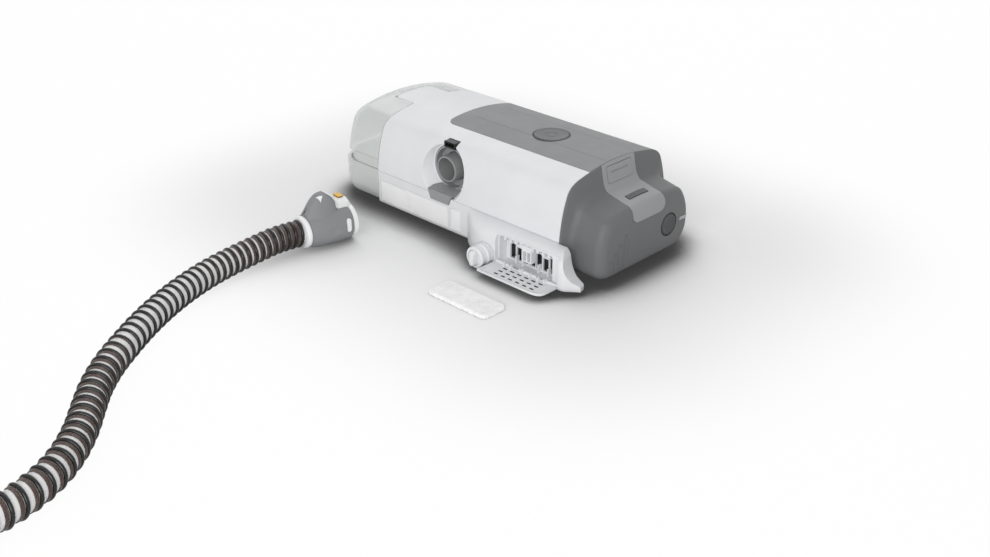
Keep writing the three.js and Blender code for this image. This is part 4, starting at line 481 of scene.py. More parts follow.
def turned(axis, centre, profile, sides=128):
    """A hollow body turned about an axis, from its closed outline of radius and place."""
    radius, place = np.array(profile, float).T
    rings = []
    for angle in np.linspace(0, 2 * math.pi, sides, endpoint=False):
        loop = [centre[0] + radius * math.cos(angle), centre[1] + radius * math.sin(angle)]
        rings.append(ring(axis, np.stack(loop, 1), place))
    return tube_of(rings)


def rounded_loop(u0, u1, v0, v1, radii, steps=10):
    """A rectangle's outline with its corners rounded, by one radius or by one for each."""
    r = np.broadcast_to(radii, 4)
    corners = [
        (u0 + r[0], v0 + r[0], r[0], math.pi), (u1 - r[1], v0 + r[1], r[1], math.pi * 1.5),
        (u1 - r[2], v1 - r[2], r[2], 0.0), (u0 + r[3], v1 - r[3], r[3], math.pi / 2),
    ]
    points = []
    for u, v, radius, start in corners:
        for i in range(steps + 1):
            angle = start + (math.pi / 2) * i / steps
            points.append((u + radius * math.cos(angle), v + radius * math.sin(angle)))
    return points


def combine(base, operation, parts):
    """The base joined with, cut by or limited to each part in turn; the parts go."""
    for part in parts:
        modifier = base.modifiers.new("cut", "BOOLEAN")
        modifier.operation = operation
        modifier.solver = "MANIFOLD"
        modifier.object = part
    graph = bpy.context.evaluated_depsgraph_get()
    result = bpy.data.meshes.new_from_object(base.evaluated_get(graph))
    base.modifiers.clear()
    old = base.data
    base.data = result
    bpy.data.meshes.remove(old)
    for part in parts:
        bpy.data.objects.remove(part)
    return base


def cut(base, *parts):
    return combine(base, "DIFFERENCE", parts)


def join(base, *parts):
    return combine(base, "UNION", parts)


def limit(base, *parts):
    return combine(base, "INTERSECT", parts)


def smooth(obj, angle):
    obj.data.polygons.foreach_set("use_smooth", [True] * len(obj.data.polygons))
    obj.data.set_sharp_from_angle(angle=math.radians(angle))


def finished(obj, name, slot, body, *replaced, angle=30.0, look=None):
    """Names the piece, smooths it, gives it its slot's finish or its own, and puts it on its body."""
    obj.name = name
    obj.data.name = name
    smooth(obj, angle)
    dress(obj, look or slot)
    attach(obj, body)
    if replaced:
        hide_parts(*replaced)
    return obj


def bezier(points, steps):
    a, b, c = (np.array(p, float) for p in points)
    t = np.linspace(0, 1, steps + 1)[:, None]
    return (1 - t) ** 2 * a + 2 * t * (1 - t) * b + t ** 2 * c


# The hose: its route along the table, then the coil out of view
def smooth_route(points, dense=14):
    """Points along a centripetal Catmull-Rom curve, as the CAD source's own curve runs."""
    points = np.asarray(points, float)
    padded = np.vstack([2 * points[0] - points[1], points, 2 * points[-1] - points[-2]])
    out = []
    for four in zip(padded, padded[1:], padded[2:], padded[3:]):
        t = np.cumsum([0.0] + [math.sqrt(np.linalg.norm(b - a)) for a, b in zip(four, four[1:])])
        for s in np.linspace(t[1], t[2], dense, endpoint=False):
            blends = four
            for span in (1, 2):
                blends = [
                    (t[i + span] - s) / (t[i + span] - t[i]) * a + (s - t[i]) / (t[i + span] - t[i]) * b
                    for i, (a, b) in enumerate(zip(blends, blends[1:]))
                ]
            a, b = blends
            out.append((t[2] - s) / (t[2] - t[1]) * a + (s - t[1]) / (t[2] - t[1]) * b)
    out.append(points[-1])
    return np.array(out)


def eased(points, dense=8):
    """A smooth curve in two dimensions through a few points."""
    flat = smooth_route([(u, v, 0.0) for u, v in points], dense)
    return [(u, v) for u, v, _ in flat]


def lengths_along(points):
    return np.concatenate([[0.0], np.cumsum(np.linalg.norm(np.diff(points, axis=0), axis=1))])


def coil_route(wanted):
    """A flat spiral that curls inwards at its end, for the length that the view doesn't show."""
    start = np.array(HOSE_ROUTE[-1], float) - (0, GAP, 0)
    centre = start - (COIL_R, 2 * HOSE_R, 0)

    def place(turn, turns):
        curl = max(0.0, 1 - (turns - turn) / COIL_CURL_TURNS)
        radius = COIL_R - COIL_PITCH * turn - COIL_CURL_IN * curl * curl
        angle = -turn * 2 * math.pi
        return centre + (radius * math.cos(angle), radius * math.sin(angle), 0)

    def route(turns):
        steps = int(turns * 24 + 1e-6)
        points = [start] + [place(i / 24, turns) for i in range(steps + 1)]
        heading = points[-1] - place(steps / 24 - 0.02, turns)
        return np.array(points + [points[-1] + heading / np.linalg.norm(heading) * 2 * HOSE_R])

    turns = 1.0
    while lengths_along(route(turns))[-1] < wanted:
        turns += 1 / 24
    return route(turns)


HOSE_LEAD = smooth_route(HOSE_ROUTE)
HOSE_COIL = coil_route(HOSE_LENGTH - lengths_along(HOSE_LEAD)[-1])
HOSE_LINE = np.vstack([HOSE_LEAD, smooth_route(HOSE_COIL, 6)])


def along_hose(spacing):
    """Evenly spaced places on the hose with their directions across it."""
    run = lengths_along(HOSE_LINE)
    wanted = np.arange(0, run[-1], spacing)
    points = np.stack([np.interp(wanted, run, HOSE_LINE[:, k]) for k in range(3)], 1)
    tangent = np.gradient(points, axis=0)
    tangent /= np.linalg.norm(tangent, axis=1)[:, None]
    side = np.cross(tangent, (0, 0, 1))
    side /= np.linalg.norm(side, axis=1)[:, None]
    over = np.cross(side, tangent)
    return wanted, points, tangent, side, over


def swept(points, side, over, radius_a, radius_b, sides):
    """Rings of an oval section along a line, side by radius_a and over by radius_b."""
    turn = np.linspace(0, 2 * math.pi, sides, endpoint=False)
    across = side[:, None, :] * (np.cos(turn) * radius_a)[None, :, None]
    above = over[:, None, :] * (np.sin(turn) * radius_b)[None, :, None]
    return points[:, None, :] + across + above


def rib_turns(run):
    """Turns of the rib up to each length: the ribs stand closer near the cuff and open out along the hose."""
    dense = np.linspace(0, HOSE_LENGTH + 100, 8000)
    pitch = RIB_PITCH_NEAR + (RIB_PITCH_FAR - RIB_PITCH_NEAR) * np.clip(dense / RIB_SPREAD, 0, 1)
    turns = np.concatenate([[0.0], np.cumsum(np.diff(dense) / pitch[1:])])
    return np.interp(run, dense, turns)


def hose_film():
    """The thin film tube between the ribs, open at both ends, as one closed skin."""
    run, points, _, side, over = along_hose(2.5)
    outer = swept(points, side, over, FILM_R - 0.4, FILM_R - 0.4, 40)
    inner = swept(points, side, over, HOSE_BORE_R, HOSE_BORE_R, 40)
    return tube_of(np.concatenate([outer, inner[::-1]]), "hose")


def helix(radius, lead, steps=0.25):
    """Points of a helix round the hose, with the directions outward and along it."""
    run, points, tangent, side, over = along_hose(steps)
    angle = rib_turns(run - lead(run)) * 2 * math.pi
    out = side * np.cos(angle)[:, None] + over * np.sin(angle)[:, None]
    return points + out * radius, out, tangent


def hose_rib():
    line, out, along = helix(HOSE_R - RIB_R, lambda run: 0 * run)
    return loft(swept(line, out, along, RIB_R, RIB_R * 0.95, 10), "hose_rib")


def hose_wires():
    """Three heating wires laid in the film beside the rib, hidden under it along the middle stretch."""
    made = []
    for k in range(3):
        def lead(run, k=k):
            near = np.clip(1 - run / WIRE_NEAR, 0, 1)
            far = np.clip((run - WIRE_FAR[0]) / WIRE_FAR[1], 0, 1)
            return np.maximum(near, far) * (WIRE_LEAD + k * WIRE_PITCH)
        line, out, along = helix(FILM_R - 0.1, lead)
        made.append(loft(swept(line, out, along, 0.42, 0.5, 6), f"hose_wire_{k + 1}"))
    return made


def glossy_strand(name, codes, places, rough, scales):
    """A strand's finish; the noise scales are those of its colour, its roughness and its grain."""
    made = Surface(name)
    cloud, wear, grain = [made.noise(scale) for scale in scales]
    made.colour(cloud, places, [shade(code, 1) for code in codes])
    made.roughness(wear, *rough)
    made.bump(grain, 0.3, 0.0001)
    return made


def hose_materials():
    rib = glossy_strand("glossy_black_rib", ("#0f1011", "#1c1d1e"), (0.3, 0.7), (0.16, 0.32), (140, 300, 500))
    rib.set(Specular_IOR_Level=0.35)
    film = clear_plastic("hose_film", "#fafafa", 0.8, 0.3, 0.00008)
    wire = glossy_strand("lacquered_wire", ("#2b2320", "#5f4a43"), (0.35, 0.65), (0.3, 0.5), (900, 400, 1500))
    return rib.material, film.material, wire.material


# Machine-end cuff, drawn along Y from its rear end and then turned about that end
def aimed(obj):
    pivot = Vector(placed((CUFF_X, CUFF_REAR_Y, 0)))
    turn = Matrix.Translation(pivot) @ Matrix.Rotation(-CUFF_YAW, 4, "Z") @ Matrix.Translation(-pivot)
    obj.data.transform(turn)
    return obj


def cuff_rings(stations, corner_share):
    rings = []
    for run, half_w, half_h in stations:
        corner = min(half_w, half_h) * corner_share
        loop = rounded_loop(CUFF_X - half_w, CUFF_X + half_w, CUFF_Z - half_h, CUFF_Z + half_h, corner, 14)
        rings.append(ring(Y, loop, CUFF_REAR_Y + run))
    return rings


def hump_form(grow):
    """The hump, narrow at its crest and splayed towards the grip."""
    stations = smooth_route([(run, half_w, top) for run, half_w, top, _ in HUMP], 5)
    feet = np.interp(stations[:, 0], [row[0] for row in HUMP], [row[3] for row in HUMP])
    rings = []
    for (run, half_w, top), foot in zip(stations, feet):
        reach = half_w + grow
        low_z, top_z = CUFF_Z + 9, CUFF_Z + top + grow
        side = np.linspace(low_z, top_z - HUMP_EDGE_R, 8)[:-1]
        radii = [0.1, 0.1, HUMP_EDGE_R, HUMP_EDGE_R]
        arcs = np.array(rounded_loop(CUFF_X - reach, CUFF_X + reach, low_z, top_z, radii)[22:])
        right = np.stack([np.full(7, CUFF_X + reach), side], 1)
        left = np.stack([np.full(7, CUFF_X - reach), side[::-1]], 1)
        loop = np.vstack([right, arcs, left])
        fall = (top_z - loop[:, 1]) / (top_z - low_z)
        spread = 1 + (foot - half_w) / reach * (0.55 * fall + 0.45 * fall ** 3)
        loop[:, 0] = CUFF_X + (loop[:, 0] - CUFF_X) * spread
        rings.append(ring(Y, loop, CUFF_REAR_Y + run))
    return loft(rings)


def ahead_of_hump(shift, half_w, lift=0.0):
    """The space in front of the hump's opening: as wide as the hump above the grip, narrow below."""
    edge = [(CUFF_REAR_Y + run + shift, CUFF_Z + top) for run, top in eased(HUMP_FRONT, 5)]
    end_y = CUFF_REAR_Y + GRIP_L + 9
    outline = edge + [(end_y, CUFF_Z + 9), (end_y, CUFF_Z + 32)]
    above = box(CUFF_X - 20, CUFF_X + 20, CUFF_REAR_Y, end_y, CUFF_Z + 15.4 + lift, CUFF_Z + 32)
    wide = limit(prism(X, outline, CUFF_X - 14, CUFF_X + 14), above)
    return join(prism(X, outline, CUFF_X - half_w, CUFF_X + half_w), wide)


def cuff_windows(grow, reach_in, reach_out):
    """Oblong windows at both sides of the grip, as prisms between two distances from the axis."""
    run0, run1, low, high = CUFF_WINDOW
    loop = rounded_loop(
        CUFF_REAR_Y + run0 - grow, CUFF_REAR_Y + run1 + grow, CUFF_Z + low - grow, CUFF_Z + high + grow,
        (run1 - run0) * 0.48 + grow,
    )
    spans = [sorted((CUFF_X + side * reach_in, CUFF_X + side * reach_out)) for side in (-1, 1)]
    return [prism(X, loop, *span) for span in spans]


def cuff_body():
    """White part: a rolled ring at the hose, a sleeve, the front ring, a rim in the hump's opening."""
    rear, front = CUFF_REAR_Y, CUFF_REAR_Y + CUFF_L
    stations = [(0, 11.8), (0.4, 12.5), (1.3, 12.95), (3.2, 13), (3.9, 12.7), (4, 12.2)]
    stations += [(max(4.0, min(run, GRIP_L + GAP)), radius - GAP) for run, radius in GRIP_INSIDE]
    stations = [(run, radius, radius) for run, radius in stations]
    stations += [
        (GRIP_L + GAP, 14.5, 13.7), (GRIP_L + 0.9, 14.95, 14.15), (CUFF_L - 1.8, 15.1, 14.3),
        (CUFF_L - 0.5, 14.8, 14.0), (CUFF_L, 14.2, 13.4),
    ]
    rim = cut(limit(hump_form(0.3), ahead_of_hump(0.3, 6.6, 0.3)), ahead_of_hump(1.9, 14))
    side = [(30.4, 10), (44.5, 10), (44.5, 15.2), (40.5, 21.6), (30.4, 21.6)]
    block = prism(X, [(rear + run, CUFF_Z + up) for run, up in side], CUFF_X - 5.2, CUFF_X + 5.2)
    flange = box(CUFF_X - 6.7, CUFF_X + 6.7, rear + 29.8, rear + 42, CUFF_Z + 10, CUFF_Z + 17.4)
    body = join(loft(cuff_rings(stations, 0.99)), flange, block, rim, *cuff_windows(-0.1, 12, 15.7))
    centre = (CUFF_X, CUFF_Z)
    socket = rod(Y, centre, front - 14, front + 1, OUTLET_R + GAP)
    body = cut(body, socket, rod(Y, centre, rear - 1, front, HOSE_BORE_R))
    return finished(aimed(body), "cuff_white_body", "cuff_white", "machine", "hose_cuff_body")


def cuff_dent(side):
    """Shallow oval dent for the thumb."""
    centre_x = CUFF_X + side * 17.6
    rings = []
    for a in np.linspace(0.02, math.pi - 0.02, 24):
        deep, tall = 2.6 * math.sin(a), 8.0 * math.sin(a)
        loop = [(centre_x + deep * u, CUFF_Z - 1 + tall * v) for u, v in circle(1.0, 48)]
        rings.append(ring(Y, loop, CUFF_REAR_Y + 20 - 9.5 * math.cos(a)))
    return loft(rings)


def cuff_grip():
    """Soft grey grip with a hump, slotted at the front for the contacts."""
    outside = [
        (4 + GAP, 13, 13), (10, 14.3, 14.2), (20, 15.6, 15.1), (34, 16, 15.2), (GRIP_L - 0.6, 15.6, 14.7),
        (GRIP_L, 15.2, 14.3),
    ]
    inside = [(run, radius, radius) for run, radius in GRIP_INSIDE]
    grip = join(loft(cuff_rings(smooth_route(outside, 5), 0.94)), hump_form(0))
    marker = prism(Z, cuff_mark_outline(0.05), CUFF_Z + 22, CUFF_Z + 32)
    grip = cut(
        grip, ahead_of_hump(0, 7), loft(cuff_rings(inside, 0.99)), marker, *cuff_windows(0.1, 8, 22),
        *(cuff_dent(side) for side in (-1, 1)),
    )
    return finished(aimed(grip), "cuff_grip_sleeve", "cuff_grey", "machine", "hose_cuff_grip")


def cuff_mark_outline(grow):
    """Small triangle beside the hump's crest that points to the hose."""
    corners = np.array([(2.3, 14.6), (4.6, 19.8), (6.7, 16.5)])
    return corners + (CUFF_X, CUFF_REAR_Y) + grow * np.sign(corners - corners.mean(0))


def cuff_mark():
    mark = limit(prism(Z, cuff_mark_outline(0), CUFF_Z + 22.2, CUFF_Z + 32), hump_form(0.12))
    return finished(aimed(mark), "cuff_mark", "cuff_white", "machine")


def make_hose():
    rib_look, film_look, wire_look = hose_materials()
    film = hose_film()
    film.data.materials.append(film_look)
    rib = hose_rib()
    rib.data.materials.append(rib_look)
    wires = hose_wires()
    for wire in wires:
        wire.data.materials.append(wire_look)
    for piece in (film, rib, *wires):
        smooth(piece, 60.0)
        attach(piece, "machine")
    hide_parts("hose_run", "hose_coil")
    cuffs = [cuff_body(), cuff_grip(), cuff_mark(), nodes["cuff_contacts"], nodes["mask_cuff"]]


make_hose()


# Shapes that several pieces share
def half_section():
    """Half of the casing's section above the parting line, rear wall to crown."""
    curves = [
        [(0, PARTING_Z), (LEAN_IN * 0.2, PARTING_Z * 0.43 + LEAN_Z * 0.57), (LEAN_IN, LEAN_Z)],
        [
            (LEAN_IN, LEAN_Z), (LEAN_IN * 1.36, SHOULDER_Z - (HEIGHT - SHOULDER_Z) / 2),
            (SHOULDER_IN, SHOULDER_Z),
        ],
        [(SHOULDER_IN, SHOULDER_Z), ((SHOULDER_IN + MIDDLE_Y) / 2, HEIGHT - 0.1), (MIDDLE_Y, HEIGHT)],
    ]
    return np.vstack([bezier(curve, 12)[(k > 0):] for k, curve in enumerate(curves)])


HALF_SECTION = half_section()


def upper_points(side_in=0.0, top_drop=0.0):
    """The section drawn in by side_in at each side and lowered by top_drop at the crown."""
    across = (MIDDLE_Y - side_in) / MIDDLE_Y
    tall = (HEIGHT - top_drop - PARTING_Z) / (HEIGHT - PARTING_Z)
    half = np.stack([
        MIDDLE_Y + (HALF_SECTION[:, 0] - MIDDLE_Y) * across,
        PARTING_Z + (HALF_SECTION[:, 1] - PARTING_Z) * tall,
    ], 1)
    mirrored = half[:-1][::-1] * (-1, 1) + (2 * MIDDLE_Y, 0)
    return np.vstack([half, mirrored])


def upper_body(x0, x1, inset=0.0):
    loop = upper_points(inset, inset)
    return loft([ring(X, loop, x0), ring(X, loop, x1)])


def full_loop(side_in, top_drop, low_z, edge_r, far_r):
    """The whole section down to a base height, with a rounded bottom edge at each side."""
    turn = np.linspace(0, math.pi / 2, 13)
    in_y = 1 - np.sin(turn)
    up = 1 - np.cos(turn)
    left = np.stack([side_in + edge_r * in_y, low_z + edge_r * up], 1)
    right = np.stack([DEPTH - side_in - far_r * in_y, low_z + far_r * up], 1)[::-1]
    return np.vstack([left, upper_points(side_in, top_drop), right])


def panel_region(grow, low_z):
    radii = [PANEL_CORNER_R + grow, 0.2, 0.2, PANEL_CORNER_R + grow]
    loop = rounded_loop(PANEL_X - grow, LENGTH + 5, PANEL_REAR_Y - grow, DEPTH + 40, radii)
    return loft([ring(Z, loop, low_z - grow), ring(Z, loop, HEIGHT + 10)])


def lid_body(shrink, end_x):
    """The lid's outer form, rounded down to the chamber's end."""
    rings = []
    for share in np.linspace(0, 1, 22):
        t = LID_TOP_RUN * share ** 1.9
        side = LID_SIDE_R * (1 - math.sqrt(1 - max(0.0, 1 - t / LID_SIDE_R) ** 2))
        drop = LID_TOP_FALL * (1 - math.sqrt(1 - max(0.0, 1 - t / LID_TOP_RUN) ** 2))
        rings.append(ring(X, upper_points(side + shrink, drop + shrink), LID_END_X + shrink + t))
    rings.append(ring(X, upper_points(shrink, shrink), end_x))
    return loft(rings)


def chute_solid(grow):
    """Plate under the outlet that bends in from the wall to the cup."""
    face = [
        (OUTLET_X - 11.7 - grow, CHUTE_LOW_Z - grow), (OUTLET_X + 8.7 + grow, CHUTE_LOW_Z - grow),
        (OUTLET_X + 12.4 + grow, CHUTE_BEND_Z), (OUTLET_X + 12.4 + grow, CHUTE_IN_Z + 3),
        (OUTLET_X - 14.8 - grow, CHUTE_IN_Z + 3), (OUTLET_X - 14.8 - grow, CHUTE_BEND_Z - 1),
    ]
    out_y = -0.6 - grow
    in_y = 1.2 + grow
    foot_y = CUP_RIM_Y + 3 + grow
    fold = [
        (out_y, CHUTE_LOW_Z - 1), (in_y, CHUTE_LOW_Z - 1), (in_y, CHUTE_BEND_Z - 1.8 - grow),
        (foot_y, CHUTE_IN_Z - 1.8 - grow), (foot_y, CHUTE_IN_Z + grow), (out_y, CHUTE_BEND_Z + grow),
    ]
    return limit(prism(Y, face, out_y, foot_y + 1), prism(X, fold, OUTLET_X - 20, OUTLET_X + 20))


def dish_solid(grow):
    """White dish that runs in from the wall to the cup, with a soft lip at the wall."""
    slope = (DISH_R - DISH_FOOT_R) / DISH_FOOT_Y
    lip = [(DISH_R + 2.6, -2.0), (DISH_R + 1.4, -0.4), (DISH_R + 0.2, 1.2)]
    run = [(DISH_R - slope * (y - 1), y) for y in (2.5, DISH_FOOT_Y)]
    foot = [(CUP_R + GAP, DISH_FOOT_Y), (CUP_R + GAP, DISH_FOOT_Y + 3)]
    return spun(Y, OUTLET, [(r + grow, y) for r, y in lip + run + foot], 128)


def socket_space(grow):
    x0, x1, z0, z1 = SOCKET
    return box(x0 - grow, x1 + grow, -5, SOCKET_BACK_Y + grow, z0 - grow, z1 + grow)


# Casing
def sleeve_opening():
    return box(LENGTH - 2 * WALL, LENGTH + 1, 16.8, 110.6, 9.6, 52.0)


def top_shell():
    low = PARTING_Z + GAP / 2
    under = PANEL_T + GAP
    recess = cut(panel_region(GAP, PANEL_FRONT_Z), upper_body(-1, LENGTH + 9, under))
    shell = cut(upper_body(0, LENGTH), upper_body(WALL, LENGTH - WALL, WALL), recess)
    underlay = cut(upper_body(0.5, LENGTH - 0.5, under), upper_body(-1, LENGTH + 1, under + 2))
    over_lid = limit(box(TONGUE[0], WALL / 2, TONGUE[1], TONGUE[2], 0, HEIGHT + 5), lid_body(0, WALL))
    over_lid = cut(over_lid, lid_body(TONGUE_T, 3 * WALL))
    walls = [limit(part, upper_body(1, LENGTH - 1)) for part in (dish_solid(WALL), socket_space(WALL))]
    shell = join(shell, limit(underlay, panel_region(2, PANEL_FRONT_Z)), over_lid, *walls)
    x0, x1, z0, z1 = DISPLAY
    shell = cut(
        shell, box(-90, LENGTH + 9, -9, DEPTH + 9, BASE_Z, low), sleeve_opening(),
        rod(Z, START, 74, HEIGHT + 5, 3.4), dish_solid(0),
        rod(Y, OUTLET, CUP_RIM_Y, CUP_BACK_Y + 3, CUP_R + GAP), socket_space(GAP), chute_solid(GAP),
        *(rod(X, (y, PORT_Z), -1, WALL + 1, PORT_R + 1.6) for y in PORT_YS),
        box(x0 + 3, x1 - 3, DEPTH - 14, DEPTH + 1, z0 + 2, z1 - 2),
        *(rod(Y, (x, MENU_Z), DEPTH - 14, DEPTH + 1, MENU_R + GAP) for x in MENU_XS),
        *(tongue_corner(side) for side in (-1, 1)),
    )
    return finished(shell, "top_casing", "casing_white", "machine", "top_shell")


def tongue_corner(side):
    """What the tongue's outer corner loses to its rounding."""
    radius = 4.0
    edge_y = TONGUE[1] if side < 0 else TONGUE[2]
    x0 = TONGUE[0]
    turn = np.linspace(0, math.pi / 2, 9)
    arc = [(x0 + radius * (1 - math.cos(a)), edge_y - side * radius * (1 - math.sin(a))) for a in turn]
    outline = [(x0 - 1, edge_y - side * radius), *arc, (x0 + radius, edge_y + side), (x0 - 1, edge_y + side)]
    return prism(Z, outline, 40, HEIGHT + 5)


def top_panel():
    panel = cut(upper_body(0, LENGTH), upper_body(-1, LENGTH + 1, PANEL_T))
    x0, x1, z0, z1 = DISPLAY
    creases = [
        limit(
            cut(upper_body(PANEL_X + 12, LENGTH - 3, -1), upper_body(0, LENGTH + 1, 0.16)),
            box(PANEL_X + 12, LENGTH + 1, y - 0.14, y + 0.14, 60, HEIGHT + 5),
        ) for y in PANEL_CREASES
    ]
    panel = cut(
        limit(panel, panel_region(0, PANEL_FRONT_Z)),
        rod(Z, START, MIDDLE_Y, HEIGHT + 5, START_R + KEY_GAP, 128),
        box(x0 - GAP, x1 + GAP, MIDDLE_Y, DEPTH + 5, z0 - GAP, z1 + GAP), *creases,
        *(rod(Y, (x, MENU_Z), MIDDLE_Y, DEPTH + 5, MENU_R + GAP) for x in MENU_XS),
    )
    return finished(panel, "panel", "panel_grey", "machine", "top_panel")


def key_gap_shades():
    """Dark rings in the gaps round the start key and the pack's check key: painted shade for those gaps."""
    top = HEIGHT + 0.15
    low, high = PACK_END_X - 1.5, PACK_END_X + 0.05
    for name, axis, centre, radius, places, body in (
        ("start_key_gap_shade", Z, START, START_R, (top - 2.0, top - 2.0, top - 0.2, top - 0.1), "machine"),
        ("pack_check_gap_shade", X, CHECK, CHECK_R, (low, low, high, high), "battery"),
    ):
        radii = (radius + 0.1, radius + 0.9, radius + 0.9, radius + 0.1)
        finished(turned(axis, centre, list(zip(radii, places))), name, "dark_plastic", body)


def start_button():
    """Round key with a softly dished face, a chamfered rim and a ring in its middle."""
    top = HEIGHT + START_PROUD
    profile = [
        (START_R, START_LOW_Z), (START_R, top - 0.9), (START_R - 0.3, top - 0.35), (START_R - 1.0, top),
        (START_R - 1.6, top), (START_R - 2.2, top - 0.3), (9.0, top - 0.55), (4.0, top - 0.66),
        (0.01, top - 0.7),
    ]
    button = join(spun(Z, START, profile), rod(Z, START, *START_STEM, STEM_R, 32))
    button = cut(button, cut(rod(Z, START, top - 0.75, top, 5.2), rod(Z, START, top - 0.8, top + 1, 4.5)))
    return finished(button, "start_key", "button_grey", "start_button", "start_button")


def bay_loop(out, inner_y):
    """Section of the bay block: an eased top, a flat face, a rounded bottom edge."""
    share = out / BAY_OUT
    top = PARTING_Z - GAP
    upper = bezier([(0, top), (-0.88 * out, top - 0.5), (-0.97 * out, top - 9)], 12)
    lower = bezier([(-out, BASE_Z + 5), (-out, BASE_Z), (-out + 3 * share, BASE_Z)], 8)
    return np.vstack([[(inner_y, top)], upper, lower, [(inner_y, BASE_Z)]])


def bay_block():
    x0 = BAY_MODULE_X
    plan = eased([
        (x0, 0.2), (x0 + 8, 0.55), (x0 + 16, 0.8), (x0 + 25, 0.96), (OXYGEN[0], 1), (EAR_X - 8, 1),
        (EAR_X + 2, 1), (EAR_X + 5, 0.93), (EAR_X + 9, 0.7), (EAR_TIP_X + 4, 0.3),
    ], 7)
    block = loft([ring(X, bay_loop(BAY_OUT * min(share, 1.0), WALL / 2), x) for x, share in plan])
    end = eased([
        (EAR_TIP_X, 2.0), (EAR_TIP_X, BASE_Z + 4.5), (EAR_TIP_X - 3, BASE_Z + 6.5), (EAR_X + 5.5, BASE_Z + 9),
        (EAR_X + 1.8, BASE_Z + 14.5), (EAR_X, BASE_Z + 20), (EAR_X - 1.2, PARTING_Z - 4),
        (EAR_X - 5.6, PARTING_Z + 1),
    ])
    side = [(x0 - 12, 2.0)] + end + [(x0 - 12, PARTING_Z + 1)]
    keep = leaning_prism(side, -BAY_OUT - 2, DEPTH, EAR_LEAN)
    return cut(limit(block, keep), box(LENGTH, EAR_TIP_X + 9, -0.4, DEPTH, 0, HEIGHT))


def bottom_shell():
    top = PARTING_Z - GAP / 2
    loop = rounded_loop(0, DEPTH, BASE_Z, top, [3.5, 3.5, 0.2, 0.2])
    shell = join(prism(X, loop, 0, LENGTH), bay_block())
    shell = cut(shell, box(WALL, LENGTH - WALL, WALL, DEPTH - WALL, BASE_Z + WALL, top + 5))
    tray = box(-41, 1, 14, DEPTH - 14, BASE_Z, 6.2)
    flange = box(LENGTH - 1, FLANGE_END_X, 24, DEPTH - 6, BASE_Z, 5.6)
    shell = join(shell, tray, flange)
    x0, x1, z0, z1 = BAY
    door0, door1 = DOOR_X
    seat = box(door0 - 0.4, door1 + 0.4, -BAY_OUT - 5, -11.9, 2, DOOR_HINGE[1] + DOOR_L + 0.4)
    mouth = prism(Y, rounded_loop(x0, x1, z0, z1, [1.2, 1.2, 2.0, 2.0]), -BAY_OUT - 5, -2.2)
    dc_x, dc_z, half = DC
    shell = cut(
        shell, sleeve_opening(), seat, mouth, box(x0 + 4, LENGTH - 18, -3, WALL + 1, 9, 24),
        box(BAY_MODULE_X + 9, x0 - 3, -7, WALL + 0.5, BASE_Z + WALL, 26),
        rod(X, DOOR_HINGE, door0 - 3, door1 + 3, PIN_HOLE_R), rod(Y, OXYGEN, -20, WALL + 1, OXYGEN_BORE_R),
        rod(X, (PORT_YS[1], 20), -1, WALL + 1, 3),
        box(dc_x - half, dc_x + half, DEPTH - 5, DEPTH + 1, dc_z - half, dc_z + half),
        chute_solid(GAP), *foot_recesses(), *face_details(),
    )
    return finished(shell, "bottom_casing", "casing_white", "machine", "bottom_shell")


def foot_recesses():
    return [
        prism(Z, rounded_loop(x - 4.8, x + 4.8, 23.7, DEPTH - 23.7, 4.7), 2, 4.3) for x in FOOT_XS
    ]


def face_details():
    """Sunk fields of the two bare labels, and the groove and slot beside the bay block."""
    fields = [prism(Y, rounded_loop(*field, radius), -2, 0.3) for field, radius in LABEL_FIELDS]
    return fields + [box(107.2, 107.9, -2, 0.6, 5, 20), box(106.8, 108.3, -2, 1.7, 19.4, 23.2)]


def labels():
    """Bare label films in their sunk fields."""
    for k, ((x0, x1, z0, z1), radius) in enumerate(LABEL_FIELDS):
        outline = rounded_loop(x0 + 0.15, x1 - 0.15, z0 + 0.15, z1 - 0.15, radius)
        film = prism(Y, outline, 0.04, 0.28)
        finished(film, f"bare_label_{k + 1}", "casing_white", "machine", look="label_white")


